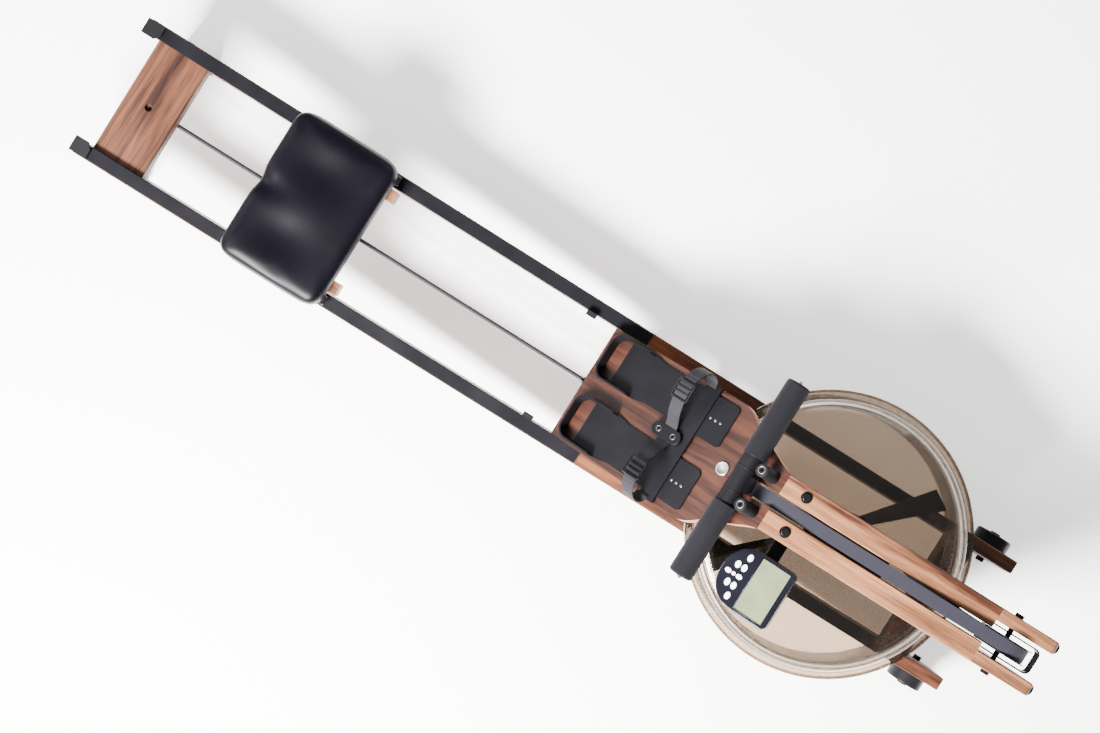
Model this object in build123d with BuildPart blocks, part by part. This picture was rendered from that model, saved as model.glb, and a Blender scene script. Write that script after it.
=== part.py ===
from build123d import *
import math
import os

# Rowing machine with a water tank, millimetres.
# Every piece is drawn square to the side rails: X runs along the rails towards the tank,
# Y is to the left and Z is up. save() then leans the whole machine nose down onto the floor.

os.makedirs("parts", exist_ok=True)

# ---- driving dimensions ----------------------------------------------------------------
LEAN = 2.8                     # the rails fall towards the tank, degrees
SHIFT_X = -13.1                # puts the middle of the machine over the origin
PAD = 12.0                     # floor pad under each rear leg

RAIL_REAR, RAIL_FRONT = -1048.0, 1026.0
RAIL_LOW, RAIL_HIGH = 64.0, 170.0
RAIL_IN, RAIL_THICK = 128.0, 28.0
RAIL_MID = RAIL_IN + RAIL_THICK / 2
BETWEEN_RAILS = 2 * RAIL_IN - 0.4

TRACK_FRONT, TRACK_HIGH, TRACK_WIDE = 140.0, 8.0, 28.0
TRACK_TOP = RAIL_HIGH + TRACK_HIGH

SEAT_X = -570.5
SEAT_LONG, SEAT_WIDE, SEAT_TOP, SEAT_BOTTOM = 235.0, 332.0, 272.0, 227.0
SEAT_CORNER = 32.0
ROLLER_R, ROLLER_GAP = 22.0, 0.3
ROLLER_Z = TRACK_TOP + ROLLER_R + ROLLER_GAP
WHEELSET_X = 95.0
AXLE_R = 5.0
RUNNING_GAP = 0.05             # radial play of every shaft in its bore

BOARD_START = (68.0, 192.0)    # lower end of the footboard's top face, X and Z
BOARD_SLOPE, BOARD_THICK = 37.6, 20.0
BOARD_END_X, BOARD_HALF = 455.0, 125.0

ARM_LOW, ARM_HIGH = 445.0, 490.0
ARM_IN, ARM_OUT = 16.0, 57.0
ARM_FRONT = 913.0
LEG_THICK, LEG_FRONT = 25.0, 1039.0

TANK_X, TANK_R = 624.0, 282.0
TANK_LOW, TANK_RIM, TANK_TOP = 178.0, 306.0, 352.0
TANK_WALL = 4.0

PULLEY_X, PULLEY_Z = 958.0, 462.0
STRAP_R, STRAP_WIDE, STRAP_THICK = 45.0, 25.0, 2.0
STRAP_START = (411.0, 475.0)   # where the pull strap leaves the handle, X and Z
ROLL_R, ROLL_Z = 45.0, 417.0   # webbing wound on the drum, and its mid height

CORD_R = 4.0
CORD_LOW_Z, CORD_HIGH_Z, DRUM_CORD_Z = 92.0, 132.0, 392.0
CORD_BEHIND_BOARD = 60.0       # distance of the sloping cord under the footboard's top face
CORD_PULLEY_R = 16.0           # pitch radius of the two guide pulleys
REAR_PULLEY_R = 20.0

HANDLE = (385.0, 470.0)
HANDLE_LONG, GRIP_R = 408.0, 23.0

WHEEL_X, WHEEL_Z, WHEEL_R, WHEEL_WIDE = 985.0, 94.0, 38.0, 26.0

MONITOR_AT, MONITOR_TILT = (496.0, -148.0, 503.0), 22.0
MONITOR_LONG, MONITOR_WIDE, MONITOR_THICK = 124.0, 118.0, 28.0

# ---- planes, placing and saving --------------------------------------------------------


def side(y):
    """Upright plane along the machine: local x is X and local y is Z."""
    return Plane(origin=(0, y, 0), x_dir=(1, 0, 0), z_dir=(0, -1, 0))


def across(x):
    """Upright plane across the machine: local x is Y and local y is Z."""
    return Plane(origin=(x, 0, 0), x_dir=(0, 1, 0), z_dir=(1, 0, 0))


def cross_axle(x, y, z):
    """Plane for round pieces that turn about a crosswise axle."""
    return Plane(origin=(x, y, z), x_dir=(1, 0, 0), z_dir=(0, 1, 0))


def save(part, name):
    """Lean the piece with the whole machine, label it and write it."""
    placed = STANDING * part
    placed.label = name
    export_step(placed, f"parts/{name}.step")


lean = math.radians(LEAN)
STANDING = Pos(SHIFT_X, 0, 0) * Rot(0, LEAN, 0)


def drop(x, height):
    """Z, in the rails' frame, of a point at X that stands at a height over the floor."""
    return (height + x * math.sin(lean)) / math.cos(lean)


slope = math.radians(BOARD_SLOPE)
board = Plane(
    origin=(BOARD_START[0], 0, BOARD_START[1]),
    x_dir=(math.cos(slope), 0, math.sin(slope)),
    z_dir=(-math.sin(slope), 0, math.cos(slope)),
)


def on_board(along, height):
    """X and Z of a point at a distance up the footboard and a height over its face."""
    point = board.from_local_coords((along, 0, height))
    return (point.X, point.Z)


def board_z(x, depth=0.0):
    """Z of the footboard's top face, or of a face at a depth under it, at X."""
    return BOARD_START[1] + (x - BOARD_START[0]) * math.tan(slope) - depth / math.cos(slope)


sides = (("left", 1), ("right", -1))

# ---- side rails, tracks and stops ------------------------------------------------------
NOSE_R, TAIL_R = 60.0, 8.0
WHEEL_BOLT_R = 6.0

for side_name, sign in sides:
    with BuildPart() as rail:
        with BuildSketch(side(sign * RAIL_MID)):
            with BuildLine():
                Polyline(
                    (RAIL_REAR, RAIL_LOW), (RAIL_FRONT, RAIL_LOW),
                    (RAIL_FRONT, RAIL_HIGH), (RAIL_REAR, RAIL_HIGH), close=True,
                )
            make_face()
            corners = vertices().sort_by(Axis.X)
            fillet(corners[:2], TAIL_R)
            fillet(vertices().sort_by(Axis.X)[-2:].sort_by(Axis.Y)[0], NOSE_R)
        extrude(amount=RAIL_THICK / 2, both=True)
        with BuildSketch(side(sign * RAIL_MID)):
            with Locations((WHEEL_X, WHEEL_Z)):
                Circle(WHEEL_BOLT_R)
        extrude(amount=RAIL_THICK, both=True, mode=Mode.SUBTRACT)
        chamfer(edges().filter_by(Axis.X), 1.5)
    save(rail.part, f"rail_{side_name}")

    with BuildPart() as track:
        with BuildSketch(across(RAIL_REAR)):
            with Locations((sign * (RAIL_IN - 2 + TRACK_WIDE / 2), RAIL_HIGH + TRACK_HIGH / 2)):
                Rectangle(TRACK_WIDE, TRACK_HIGH)
        extrude(amount=TRACK_FRONT - RAIL_REAR)
        chamfer(edges().filter_by(Axis.X).group_by(Axis.Z)[-1], 1.0)
    save(track.part, f"track_{side_name}")

REAR_STOP_HIGH, FRONT_STOP_HIGH, REAR_STOP_LONG, FRONT_STOP_LONG = 9.0, 22.0, 38.0, 22.0
STOP_IN, STOP_CORNER, STOP_OUT, STOP_WIDE = 121.0, 133.0, 153.5, 10.0
STOP_BEND_X = RAIL_REAR + 26

with BuildPart() as track_stops:
    for _, sign in sides:
        with BuildSketch(Plane.XY.offset(TRACK_TOP)):
            with BuildLine():
                Polyline(
                    (RAIL_REAR, sign * STOP_IN), (STOP_BEND_X, sign * STOP_IN),
                    (RAIL_REAR + REAR_STOP_LONG, sign * STOP_CORNER),
                    (RAIL_REAR + REAR_STOP_LONG, sign * STOP_OUT),
                    (RAIL_REAR, sign * STOP_OUT), close=True,
                )
            make_face()
        extrude(amount=REAR_STOP_HIGH)
        with BuildSketch(Plane.XY.offset(RAIL_HIGH)):
            with Locations((FRONT_STOP_LONG / 2, sign * STOP_IN)):
                Rectangle(FRONT_STOP_LONG, STOP_WIDE)
        extrude(amount=FRONT_STOP_HIGH)
save(track_stops.part, "track_stops")

# ---- rear spreader, legs and floor pads ------------------------------------------------
SPREADER_REAR, SPREADER_FRONT = -1016.0, -901.0
SPREADER_LOW, SPREADER_HIGH = 143.0, 165.0
SPREADER_BOLT_X, BOLT_R, BOLT_SINK_R, BOLT_SINK_DEEP = -963.0, 4.0, 8.0, 9.0

with BuildPart() as rear_spreader:
    with BuildSketch(Plane.XY.offset(SPREADER_LOW)):
        with Locations(((SPREADER_REAR + SPREADER_FRONT) / 2, 0)):
            Rectangle(SPREADER_FRONT - SPREADER_REAR, BETWEEN_RAILS)
    extrude(amount=SPREADER_HIGH - SPREADER_LOW)
    chamfer(edges().filter_by(Axis.Y).group_by(Axis.Z)[-1], 2)
    with Locations((SPREADER_BOLT_X, 0, SPREADER_HIGH)):
        CounterBoreHole(BOLT_R, BOLT_SINK_R, BOLT_SINK_DEEP)
save(rear_spreader.part, "rear_spreader")

REAR_LEG_X = (-1040.0, -950.0)
FRONT_PAD_X = (930.0, 1008.0)
PAD_SHORTER, PAD_NARROWER = 6.0, 3.0   # the rubber stands back from the wood's edges


def leg_block(x_range, low, high):
    """Outline of a block between two heights, each a function of X."""
    rear, front = x_range
    return [(rear, low(rear)), (front, low(front)), (front, high(front)), (rear, high(rear))]


with BuildPart() as rear_legs:
    for _, sign in sides:
        with BuildSketch(side(sign * RAIL_MID)):
            with BuildLine():
                Polyline(
                    *leg_block(REAR_LEG_X, lambda x: drop(x, PAD), lambda x: RAIL_LOW), close=True
                )
            make_face()
        extrude(amount=RAIL_THICK / 2, both=True)
    chamfer(edges().filter_by(Axis.Y).group_by(Axis.Z)[0], 2)
save(rear_legs.part, "rear_legs")

STANDING_FOOT_Z, STANDING_FOOT_R, STANDING_FOOT_HIGH = 462.0, 10.0, 9.0
LEG_MID = ARM_OUT - LEG_THICK / 2

with BuildPart() as rubber_feet:
    for _, sign in sides:
        with BuildSketch(side(sign * RAIL_MID)):
            with BuildLine():
                Polyline(
                    *leg_block(
                        (REAR_LEG_X[0] + PAD_SHORTER, REAR_LEG_X[1] - PAD_SHORTER),
                        lambda x: drop(x, 0), lambda x: drop(x, PAD),
                    ), close=True
                )
            make_face()
            with BuildLine():
                Polyline(
                    *leg_block(FRONT_PAD_X, lambda x: drop(x, 0), lambda x: RAIL_LOW), close=True
                )
            make_face()
        extrude(amount=RAIL_THICK / 2 - PAD_NARROWER, both=True)
        with BuildSketch(across(LEG_FRONT)):
            with Locations((sign * LEG_MID, STANDING_FOOT_Z)):
                Circle(STANDING_FOOT_R)
        extrude(amount=STANDING_FOOT_HIGH)
save(rubber_feet.part, "rubber_feet")

# ---- footboard, battens and bulkhead ---------------------------------------------------
SHOULDER_X = 330.0
NECK_HALF = 58.0
SLOT_START, SLOT_HALF = 438.0, 16.0


def up_board(x):
    """Distance up the footboard of a point at X."""
    return (x - BOARD_START[0]) / math.cos(slope)


neck_outline = [(up_board(SHOULDER_X), BOARD_HALF), (up_board(376), 97), (up_board(415), 77)]
neck_end = up_board(BOARD_END_X) + BOARD_THICK

with BuildPart() as footboard:
    with BuildSketch(board):
        with BuildLine():
            foot_edge = Line((0, 0), (0, BOARD_HALF))
            straight = Line(foot_edge @ 1, neck_outline[0])
            curve = Spline(
                *neck_outline, (up_board(BOARD_END_X), NECK_HALF),
                tangents=[(1, 0), (1, -0.12)],
            )
            neck = Line(curve @ 1, (neck_end, NECK_HALF))
            tip = Line(neck @ 1, (neck_end, 0))
            mirror(about=Plane.XZ)
        make_face()
        with Locations(((SLOT_START + neck_end) / 2 + 1, 0)):
            Rectangle(neck_end - SLOT_START + 2, 2 * SLOT_HALF, mode=Mode.SUBTRACT)
    extrude(amount=-BOARD_THICK)
    split(bisect_by=Plane(origin=(BOARD_END_X, 0, 0), z_dir=(-1, 0, 0)))
    chamfer(edges().filter_by(Axis.Y).group_by(Axis.Z)[0:1], 2)
save(footboard.part, "footboard")

BATTEN_X = (90.0, 112.0)
BATTEN_LOW, BATTEN_GAP, BATTEN_OUT = 120.0, 26.0, 125.5
BULKHEAD_X = (300.0, 322.0)
CORD_SLOT_HIGH, CORD_SLOT_WIDE = 80.0, 20.0

with BuildPart() as footboard_frame:
    for _, sign in sides:
        with BuildSketch(side(sign * (BATTEN_GAP + BATTEN_OUT) / 2)):
            with BuildLine():
                Polyline(
                    *leg_block(BATTEN_X, lambda x: BATTEN_LOW, lambda x: board_z(x, BOARD_THICK)),
                    close=True,
                )
            make_face()
        extrude(amount=(BATTEN_OUT - BATTEN_GAP) / 2, both=True)
    with BuildSketch(side(0)):
        with BuildLine():
            Polyline(
                *leg_block(BULKHEAD_X, lambda x: RAIL_LOW, lambda x: board_z(x, BOARD_THICK)),
                close=True,
            )
        make_face()
    extrude(amount=RAIL_IN - 1, both=True)
    with BuildSketch(across(BULKHEAD_X[0])):
        with Locations((0, board_z(sum(BULKHEAD_X) / 2, CORD_BEHIND_BOARD))):
            SlotOverall(CORD_SLOT_HIGH, CORD_SLOT_WIDE, rotation=90)
    extrude(amount=CORD_BEHIND_BOARD, both=True, mode=Mode.SUBTRACT)
save(footboard_frame.part, "footboard_frame")

# ---- arms, front legs and front crossbar -----------------------------------------------
LEG_REAR = [(888, 160), (ARM_FRONT, 300), (ARM_FRONT, ARM_HIGH)]
LEG_CHIN_Z, LEG_TOE, LEG_CORNER = 430.0, (935.0, 160.0), 12.0
CROSSBAR_X, CROSSBAR_Z = (880.0, 940.0), (120.0, 160.0)

for side_name, sign in sides:
    with BuildPart() as arm:
        with BuildSketch(across(BOARD_END_X)):
            with Locations((sign * (ARM_IN + ARM_OUT) / 2, (ARM_LOW + ARM_HIGH) / 2)):
                Rectangle(ARM_OUT - ARM_IN, ARM_HIGH - ARM_LOW)
        extrude(amount=ARM_FRONT - BOARD_END_X)
        chamfer(edges().filter_by(Axis.X), 2)
    save(arm.part, f"arm_{side_name}")

    with BuildPart() as front_leg:
        with BuildSketch(side(sign * LEG_MID)):
            with BuildLine():
                Polyline(
                    *LEG_REAR, (LEG_FRONT, ARM_HIGH), (LEG_FRONT, LEG_CHIN_Z), LEG_TOE, close=True
                )
            make_face()
            fillet(vertices().group_by(Axis.X)[-1], LEG_CORNER)
            with Locations((PULLEY_X, PULLEY_Z)):
                Circle(AXLE_R, mode=Mode.SUBTRACT)
        extrude(amount=LEG_THICK / 2, both=True)
        chamfer(edges().group_by(Axis.Z)[-1], 2)
    save(front_leg.part, f"front_leg_{side_name}")

with BuildPart() as front_crossbar:
    with BuildSketch(side(0)):
        with Locations((sum(CROSSBAR_X) / 2, sum(CROSSBAR_Z) / 2)):
            Rectangle(CROSSBAR_X[1] - CROSSBAR_X[0], CROSSBAR_Z[1] - CROSSBAR_Z[0])
    extrude(amount=BETWEEN_RAILS / 2, both=True)
    chamfer(edges().filter_by(Axis.Y), 2)
save(front_crossbar.part, "front_crossbar")

# ---- bolts -----------------------------------------------------------------------------
ARM_BOLT_X, ARM_BOLT_R, ARM_BOLT_HIGH = 501.0, 8.5, 5.0
RAIL_BOLT_R, RAIL_BOLT_HIGH = 7.0, 1.0
WHEEL_NUT_R, WHEEL_NUT_THICK = 9.5, 9.0
WHEEL_CAP_R, WHEEL_CAP_THICK, WHEEL_CAP_GAP = 11.0, 4.0, 0.6
WHEEL_IN = RAIL_IN + RAIL_THICK + 1.5
RAIL_BOLTS = [(-960.0, 154.0), (311.0, 120.0), (101.0, 150.0), (910.0, 140.0)]

with BuildPart() as frame_bolts:
    for _, sign in sides:
        with BuildSketch(Plane.XY.offset(ARM_HIGH)):
            with Locations((ARM_BOLT_X, sign * (ARM_IN + ARM_OUT) / 2)):
                Circle(ARM_BOLT_R)
        extrude(amount=ARM_BOLT_HIGH)
        fillet(faces().group_by(Axis.Z)[-1].edges(), ARM_BOLT_HIGH / 2)
    for _, sign in sides:
        outer = RAIL_IN + RAIL_THICK
        for bolt_x, bolt_z in RAIL_BOLTS:
            with BuildSketch(Plane(origin=(bolt_x, sign * outer, bolt_z), x_dir=(1, 0, 0),
                                   z_dir=(0, sign, 0))):
                Circle(RAIL_BOLT_R)
            extrude(amount=RAIL_BOLT_HIGH)
    for _, sign in sides:
        bolt_plane = Plane(origin=(WHEEL_X, 0, WHEEL_Z), x_dir=(1, 0, 0), z_dir=(0, sign, 0))
        with BuildSketch(bolt_plane.offset(RAIL_IN - WHEEL_NUT_THICK)):
            RegularPolygon(WHEEL_NUT_R, 6)
        extrude(amount=WHEEL_NUT_THICK)
        with BuildSketch(bolt_plane.offset(RAIL_IN)):
            Circle(WHEEL_BOLT_R - RUNNING_GAP)
        extrude(amount=WHEEL_IN + WHEEL_WIDE + WHEEL_CAP_GAP + 1 - RAIL_IN)
        with BuildSketch(bolt_plane.offset(WHEEL_IN + WHEEL_WIDE + WHEEL_CAP_GAP)):
            Circle(WHEEL_CAP_R)
        extrude(amount=WHEEL_CAP_THICK)
        fillet(faces().filter_by(Plane.XZ).sort_by(Axis.Y)[-1 if sign > 0 else 0].edges(), 1.8)
save(frame_bolts.part, "frame_bolts")

# ---- transport wheels ------------------------------------------------------------------
DISH_DEEP, WHEEL_RIM, WHEEL_HUB = 6.0, 9.0, 9.0

for side_name, sign in sides:
    wheel_plane = Plane(origin=(WHEEL_X, sign * WHEEL_IN, WHEEL_Z), x_dir=(1, 0, 0),
                        z_dir=(0, sign, 0))
    with BuildPart() as transport_wheel:
        with BuildSketch(wheel_plane):
            Circle(WHEEL_R)
            Circle(WHEEL_BOLT_R, mode=Mode.SUBTRACT)
        extrude(amount=WHEEL_WIDE)
        fillet(edges().filter_by(GeomType.CIRCLE).group_by(SortBy.RADIUS)[-1], 3)
        with BuildSketch(wheel_plane.offset(WHEEL_WIDE - DISH_DEEP)):
            Circle(WHEEL_R - WHEEL_RIM)
            Circle(WHEEL_BOLT_R + WHEEL_HUB, mode=Mode.SUBTRACT)
        extrude(amount=2 * DISH_DEEP, mode=Mode.SUBTRACT)
    save(transport_wheel.part, f"transport_wheel_{side_name}")

# ---- seat ------------------------------------------------------------------------------
BAR_IN, BAR_OUT, BAR_LOW, BAR_HIGH = 96.0, 120.0, 172.0, 219.0
BAR_REAR_X, BAR_FRONT_X = SEAT_X - 112, SEAT_X + 128
ROLLER_IN, ROLLER_OUT = 130.5, 149.5
PAD_TOP_ROUND, PAD_LOW_ROUND = 13.0, 5.0
PLATE_SHORTER, PLATE_WIDER, PLATE_ROUND = 30.0, 10.0, 20.0

with BuildPart() as seat_pad:
    with BuildSketch(Plane.XY.offset(SEAT_BOTTOM)):
        with Locations((SEAT_X, 0)):
            RectangleRounded(SEAT_LONG, SEAT_WIDE, SEAT_CORNER)
    extrude(amount=SEAT_TOP - SEAT_BOTTOM)
    fillet(faces().sort_by(Axis.Z)[-1].edges(), PAD_TOP_ROUND)
    fillet(faces().sort_by(Axis.Z)[0].edges(), PAD_LOW_ROUND)
save(seat_pad.part, "seat_pad")

with BuildPart() as seat_carriage:
    with BuildSketch(Plane.XY.offset(BAR_HIGH)):
        with Locations((SEAT_X, 0)):
            RectangleRounded(SEAT_LONG - PLATE_SHORTER, 2 * BAR_OUT + PLATE_WIDER, PLATE_ROUND)
    extrude(amount=SEAT_BOTTOM - BAR_HIGH)
    for _, sign in sides:
        with BuildSketch(side(sign * (BAR_IN + BAR_OUT) / 2)):
            with Locations(((BAR_REAR_X + BAR_FRONT_X) / 2, (BAR_LOW + BAR_HIGH) / 2)):
                Rectangle(BAR_FRONT_X - BAR_REAR_X, BAR_HIGH - BAR_LOW)
            with Locations((SEAT_X - WHEELSET_X, ROLLER_Z), (SEAT_X + WHEELSET_X, ROLLER_Z)):
                Circle(AXLE_R + RUNNING_GAP, mode=Mode.SUBTRACT)
        extrude(amount=(BAR_OUT - BAR_IN) / 2, both=True)
save(seat_carriage.part, "seat_carriage")

for end_name, end in (("front", 1), ("rear", -1)):
    axle_x = SEAT_X + end * WHEELSET_X
    with BuildPart() as wheelset:
        with BuildSketch(cross_axle(axle_x, 0, ROLLER_Z)):
            Circle(AXLE_R)
        extrude(amount=ROLLER_OUT + 4, both=True)
        for _, sign in sides:
            with BuildSketch(cross_axle(axle_x, sign * (ROLLER_IN + ROLLER_OUT) / 2, ROLLER_Z)):
                Circle(ROLLER_R)
            extrude(amount=(ROLLER_OUT - ROLLER_IN) / 2, both=True)
        chamfer(edges().filter_by(GeomType.CIRCLE).group_by(SortBy.RADIUS)[-1], 1.5)
    save(wheelset.part, f"wheelset_{end_name}")

# ---- tank ------------------------------------------------------------------------------
BOWL_FLOOR_R, BOWL_NECK_R, FLANGE_THICK = 205.0, 268.0, 6.0
COVER_SHOULDER_R, COLLAR_R, SHAFT_R = 222.0, 24.0, 8.0
MOUTH_R = BOWL_NECK_R - TANK_WALL
BELLY_Z = TANK_LOW + 75
POST_R, POST_TOP, POST_BORE = SHAFT_R + 14, TANK_LOW + 22, TANK_LOW + 6
SHOULDER_Z, COLLAR_TOP = TANK_TOP - 4, TANK_TOP + 20

with BuildPart() as tank_bowl:
    with BuildSketch(Plane.XZ.move(Location((TANK_X, 0, 0)))):
        with BuildLine():
            floor_line = Line((0, TANK_LOW), (BOWL_FLOOR_R, TANK_LOW))
            belly = TangentArc(floor_line @ 1, (BOWL_NECK_R, BELLY_Z), tangent=(1, 0))
            wall = Line(belly @ 1, (BOWL_NECK_R, TANK_RIM - FLANGE_THICK))
            Polyline(
                wall @ 1, (TANK_R, TANK_RIM - FLANGE_THICK), (TANK_R, TANK_RIM),
                (MOUTH_R, TANK_RIM), (MOUTH_R, BELLY_Z + 1),
            )
            inner = TangentArc(
                (BOWL_FLOOR_R - 1, TANK_LOW + TANK_WALL), (MOUTH_R, BELLY_Z + 1), tangent=(1, 0)
            )
            Polyline(
                inner @ 0, (POST_R, TANK_LOW + TANK_WALL),
                (POST_R, POST_TOP), (SHAFT_R + RUNNING_GAP, POST_TOP),
                (SHAFT_R + RUNNING_GAP, POST_BORE), (0, POST_BORE), (0, TANK_LOW),
            )
        make_face()
    revolve(axis=Axis((TANK_X, 0, 0), (0, 0, 1)))
save(tank_bowl.part, "tank_bowl")

with BuildPart() as tank_cover:
    with BuildSketch(Plane.XZ.move(Location((TANK_X, 0, 0)))):
        with BuildLine():
            Polyline(
                (MOUTH_R, TANK_RIM), (TANK_R, TANK_RIM), (TANK_R, TANK_RIM + FLANGE_THICK),
                (BOWL_NECK_R, TANK_RIM + FLANGE_THICK),
            )
            shoulder = TangentArc(
                (BOWL_NECK_R, TANK_RIM + FLANGE_THICK), (COVER_SHOULDER_R, SHOULDER_Z),
                tangent=(0, 1),
            )
            Polyline(
                shoulder @ 1, (COLLAR_R, TANK_TOP), (COLLAR_R, COLLAR_TOP),
                (SHAFT_R + RUNNING_GAP, COLLAR_TOP), (SHAFT_R + RUNNING_GAP, TANK_TOP - TANK_WALL),
                (COVER_SHOULDER_R - 1, SHOULDER_Z - TANK_WALL),
            )
            TangentArc(
                (MOUTH_R, TANK_RIM), (COVER_SHOULDER_R - 1, SHOULDER_Z - TANK_WALL),
                tangent=(0, 1),
            )
        make_face()
    revolve(axis=Axis((TANK_X, 0, 0), (0, 0, 1)))
save(tank_cover.part, "tank_cover")

SUPPORT_X = (430.0, 860.0)

with BuildPart() as tank_supports:
    for _, sign in sides:
        with BuildSketch(Plane.XY.offset(RAIL_HIGH)):
            with Locations((sum(SUPPORT_X) / 2, sign * RAIL_MID)):
                Rectangle(SUPPORT_X[1] - SUPPORT_X[0], RAIL_THICK - 2)
        extrude(amount=TANK_LOW - RAIL_HIGH)
save(tank_supports.part, "tank_supports")

# ---- paddle and drum -------------------------------------------------------------------
BLADE_TIP_R, BLADE_Z, BLADE_ANGLE = 236.0, 262.0, 44.0
BLADE_THICK, HUB_R, HUB_HALF = 4.0, 17.0, 26.0
BLADE_SECTIONS = ((12.0, 15.0, 6.0), (BLADE_TIP_R, 38.0, 34.0))   # reach, half height, fold
SHAFT_FOOT, SHAFT_TOP = TANK_LOW + 6.5, 383.0


def chevron(half_height, depth, thick):
    """Closed outline of a folded blade, seen along the blade."""
    return [
        (0, half_height), (depth, 0), (0, -half_height),
        (-thick, -half_height), (depth - thick, 0), (-thick, half_height),
    ]


with BuildPart() as paddle:
    with BuildSketch(Plane.XY.offset(SHAFT_FOOT)):
        with Locations((TANK_X, 0)):
            Circle(SHAFT_R)
    extrude(amount=SHAFT_TOP - SHAFT_FOOT)
    with BuildSketch(Plane.XY.offset(BLADE_Z - HUB_HALF)):
        with Locations((TANK_X, 0)):
            Circle(HUB_R)
    extrude(amount=2 * HUB_HALF)
    for turn in (BLADE_ANGLE, BLADE_ANGLE + 180):
        outward = (math.cos(math.radians(turn)), math.sin(math.radians(turn)), 0)
        sideways = (-outward[1], outward[0], 0)
        for reach, half_height, depth in BLADE_SECTIONS:
            tip_plane = Plane(
                origin=(TANK_X + outward[0] * reach, outward[1] * reach, BLADE_Z),
                x_dir=sideways, z_dir=outward,
            )
            with BuildSketch(tip_plane):
                with BuildLine():
                    Polyline(*chevron(half_height, depth, BLADE_THICK), close=True)
                make_face()
        loft()
save(paddle.part, "paddle")

DRUM_SHAFT_R, DRUM_CORE_R, DRUM_FLANGE_R = 6.0, 30.0, 60.0
SPOOL_R, SPOOL_LOW, SPOOL_HIGH = CORD_PULLEY_R - 2.5, 384.0, 400.0
FLANGE_LOW = (SPOOL_HIGH, SPOOL_HIGH + 2.5)
FLANGE_HIGH = (ROLL_Z + 14.5, ROLL_Z + 17)
BRIDGE_LOW, BRIDGE_HIGH, BRIDGE_X = 437.0, ARM_LOW, (540.0, 708.0)

with BuildPart() as strap_drum:
    for radius, low, high in (
        (SPOOL_R, SPOOL_LOW, SPOOL_HIGH), (DRUM_FLANGE_R, *FLANGE_LOW),
        (DRUM_CORE_R, FLANGE_LOW[0], FLANGE_HIGH[1]), (DRUM_FLANGE_R, *FLANGE_HIGH),
        (DRUM_SHAFT_R, FLANGE_HIGH[0], ARM_LOW - 1),
    ):
        with BuildSketch(Plane.XY.offset(low)):
            with Locations((TANK_X, 0)):
                Circle(radius)
        extrude(amount=high - low)
save(strap_drum.part, "strap_drum")

with BuildPart() as strap_roll:
    with BuildSketch(Plane.XY.offset(ROLL_Z - STRAP_WIDE / 2)):
        with Locations((TANK_X, 0)):
            Circle(ROLL_R - 0.5)
            Circle(DRUM_CORE_R, mode=Mode.SUBTRACT)
    extrude(amount=STRAP_WIDE)
save(strap_roll.part, "strap_roll")

with BuildPart() as bearing_bridge:
    with BuildSketch(Plane.XY.offset(BRIDGE_LOW)):
        with Locations((sum(BRIDGE_X) / 2, 0)):
            RectangleRounded(BRIDGE_X[1] - BRIDGE_X[0], 2 * ARM_OUT, 10)
        with Locations((TANK_X, 0)):
            Circle(DRUM_SHAFT_R + RUNNING_GAP, mode=Mode.SUBTRACT)
    extrude(amount=BRIDGE_HIGH - BRIDGE_LOW)
save(bearing_bridge.part, "bearing_bridge")

# ---- front pulley and its bracket ------------------------------------------------------
GUARD_HALF, GUARD_REAR_X, GUARD_NOSE_X, GUARD_NOSE_R = 24.5, 928.0, 1023.5, 11.0
GUARD_THICK, GUARD_HIGH = 3.0, 18.0
PULLEY_HUB_HALF, PULLEY_FLANGE_R, PULLEY_FLANGE_THICK = 13.5, 50.0, 2.0
AXLE_NUT_R, AXLE_NUT_THICK = 9.0, 7.0

with BuildPart() as front_pulley:
    with BuildSketch(cross_axle(PULLEY_X, 0, PULLEY_Z)):
        Circle(STRAP_R - STRAP_THICK / 2 - 0.4)
        Circle(AXLE_R + RUNNING_GAP, mode=Mode.SUBTRACT)
    extrude(amount=PULLEY_HUB_HALF, both=True)
    for sign in (1, -1):
        flange_y = sign * (PULLEY_HUB_HALF + PULLEY_FLANGE_THICK / 2)
        with BuildSketch(cross_axle(PULLEY_X, flange_y, PULLEY_Z)):
            Circle(PULLEY_FLANGE_R)
            Circle(AXLE_R + RUNNING_GAP, mode=Mode.SUBTRACT)
        extrude(amount=PULLEY_FLANGE_THICK / 2, both=True)
save(front_pulley.part, "front_pulley")

with BuildPart() as pulley_bracket:
    with BuildSketch(Plane.XY.offset(PULLEY_Z - GUARD_HIGH / 2)):
        with BuildLine():
            FilletPolyline(
                (GUARD_REAR_X, GUARD_HALF), (GUARD_NOSE_X, GUARD_HALF),
                (GUARD_NOSE_X, -GUARD_HALF), (GUARD_REAR_X, -GUARD_HALF), radius=GUARD_NOSE_R,
            )
        trace(line_width=GUARD_THICK)
    extrude(amount=GUARD_HIGH)
    with BuildSketch(cross_axle(PULLEY_X, 0, PULLEY_Z)):
        Circle(AXLE_R)
    extrude(amount=ARM_OUT + 6, both=True)
    for sign in (1, -1):
        with BuildSketch(Plane(origin=(PULLEY_X, sign * ARM_OUT, PULLEY_Z), x_dir=(1, 0, 0),
                               z_dir=(0, sign, 0))):
            RegularPolygon(AXLE_NUT_R, 6)
        extrude(amount=AXLE_NUT_THICK)
save(pulley_bracket.part, "pulley_bracket")

# ---- pull strap and return strap -------------------------------------------------------
reach_x, reach_z = PULLEY_X - STRAP_START[0], PULLEY_Z - STRAP_START[1]
climb = math.atan2(reach_z, reach_x) + math.asin(STRAP_R / math.hypot(reach_x, reach_z))
strap_touch = (PULLEY_X - STRAP_R * math.sin(climb), PULLEY_Z + STRAP_R * math.cos(climb))
thick_x, thick_z = STRAP_THICK / 2 * math.sin(climb), STRAP_THICK / 2 * math.cos(climb)

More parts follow.
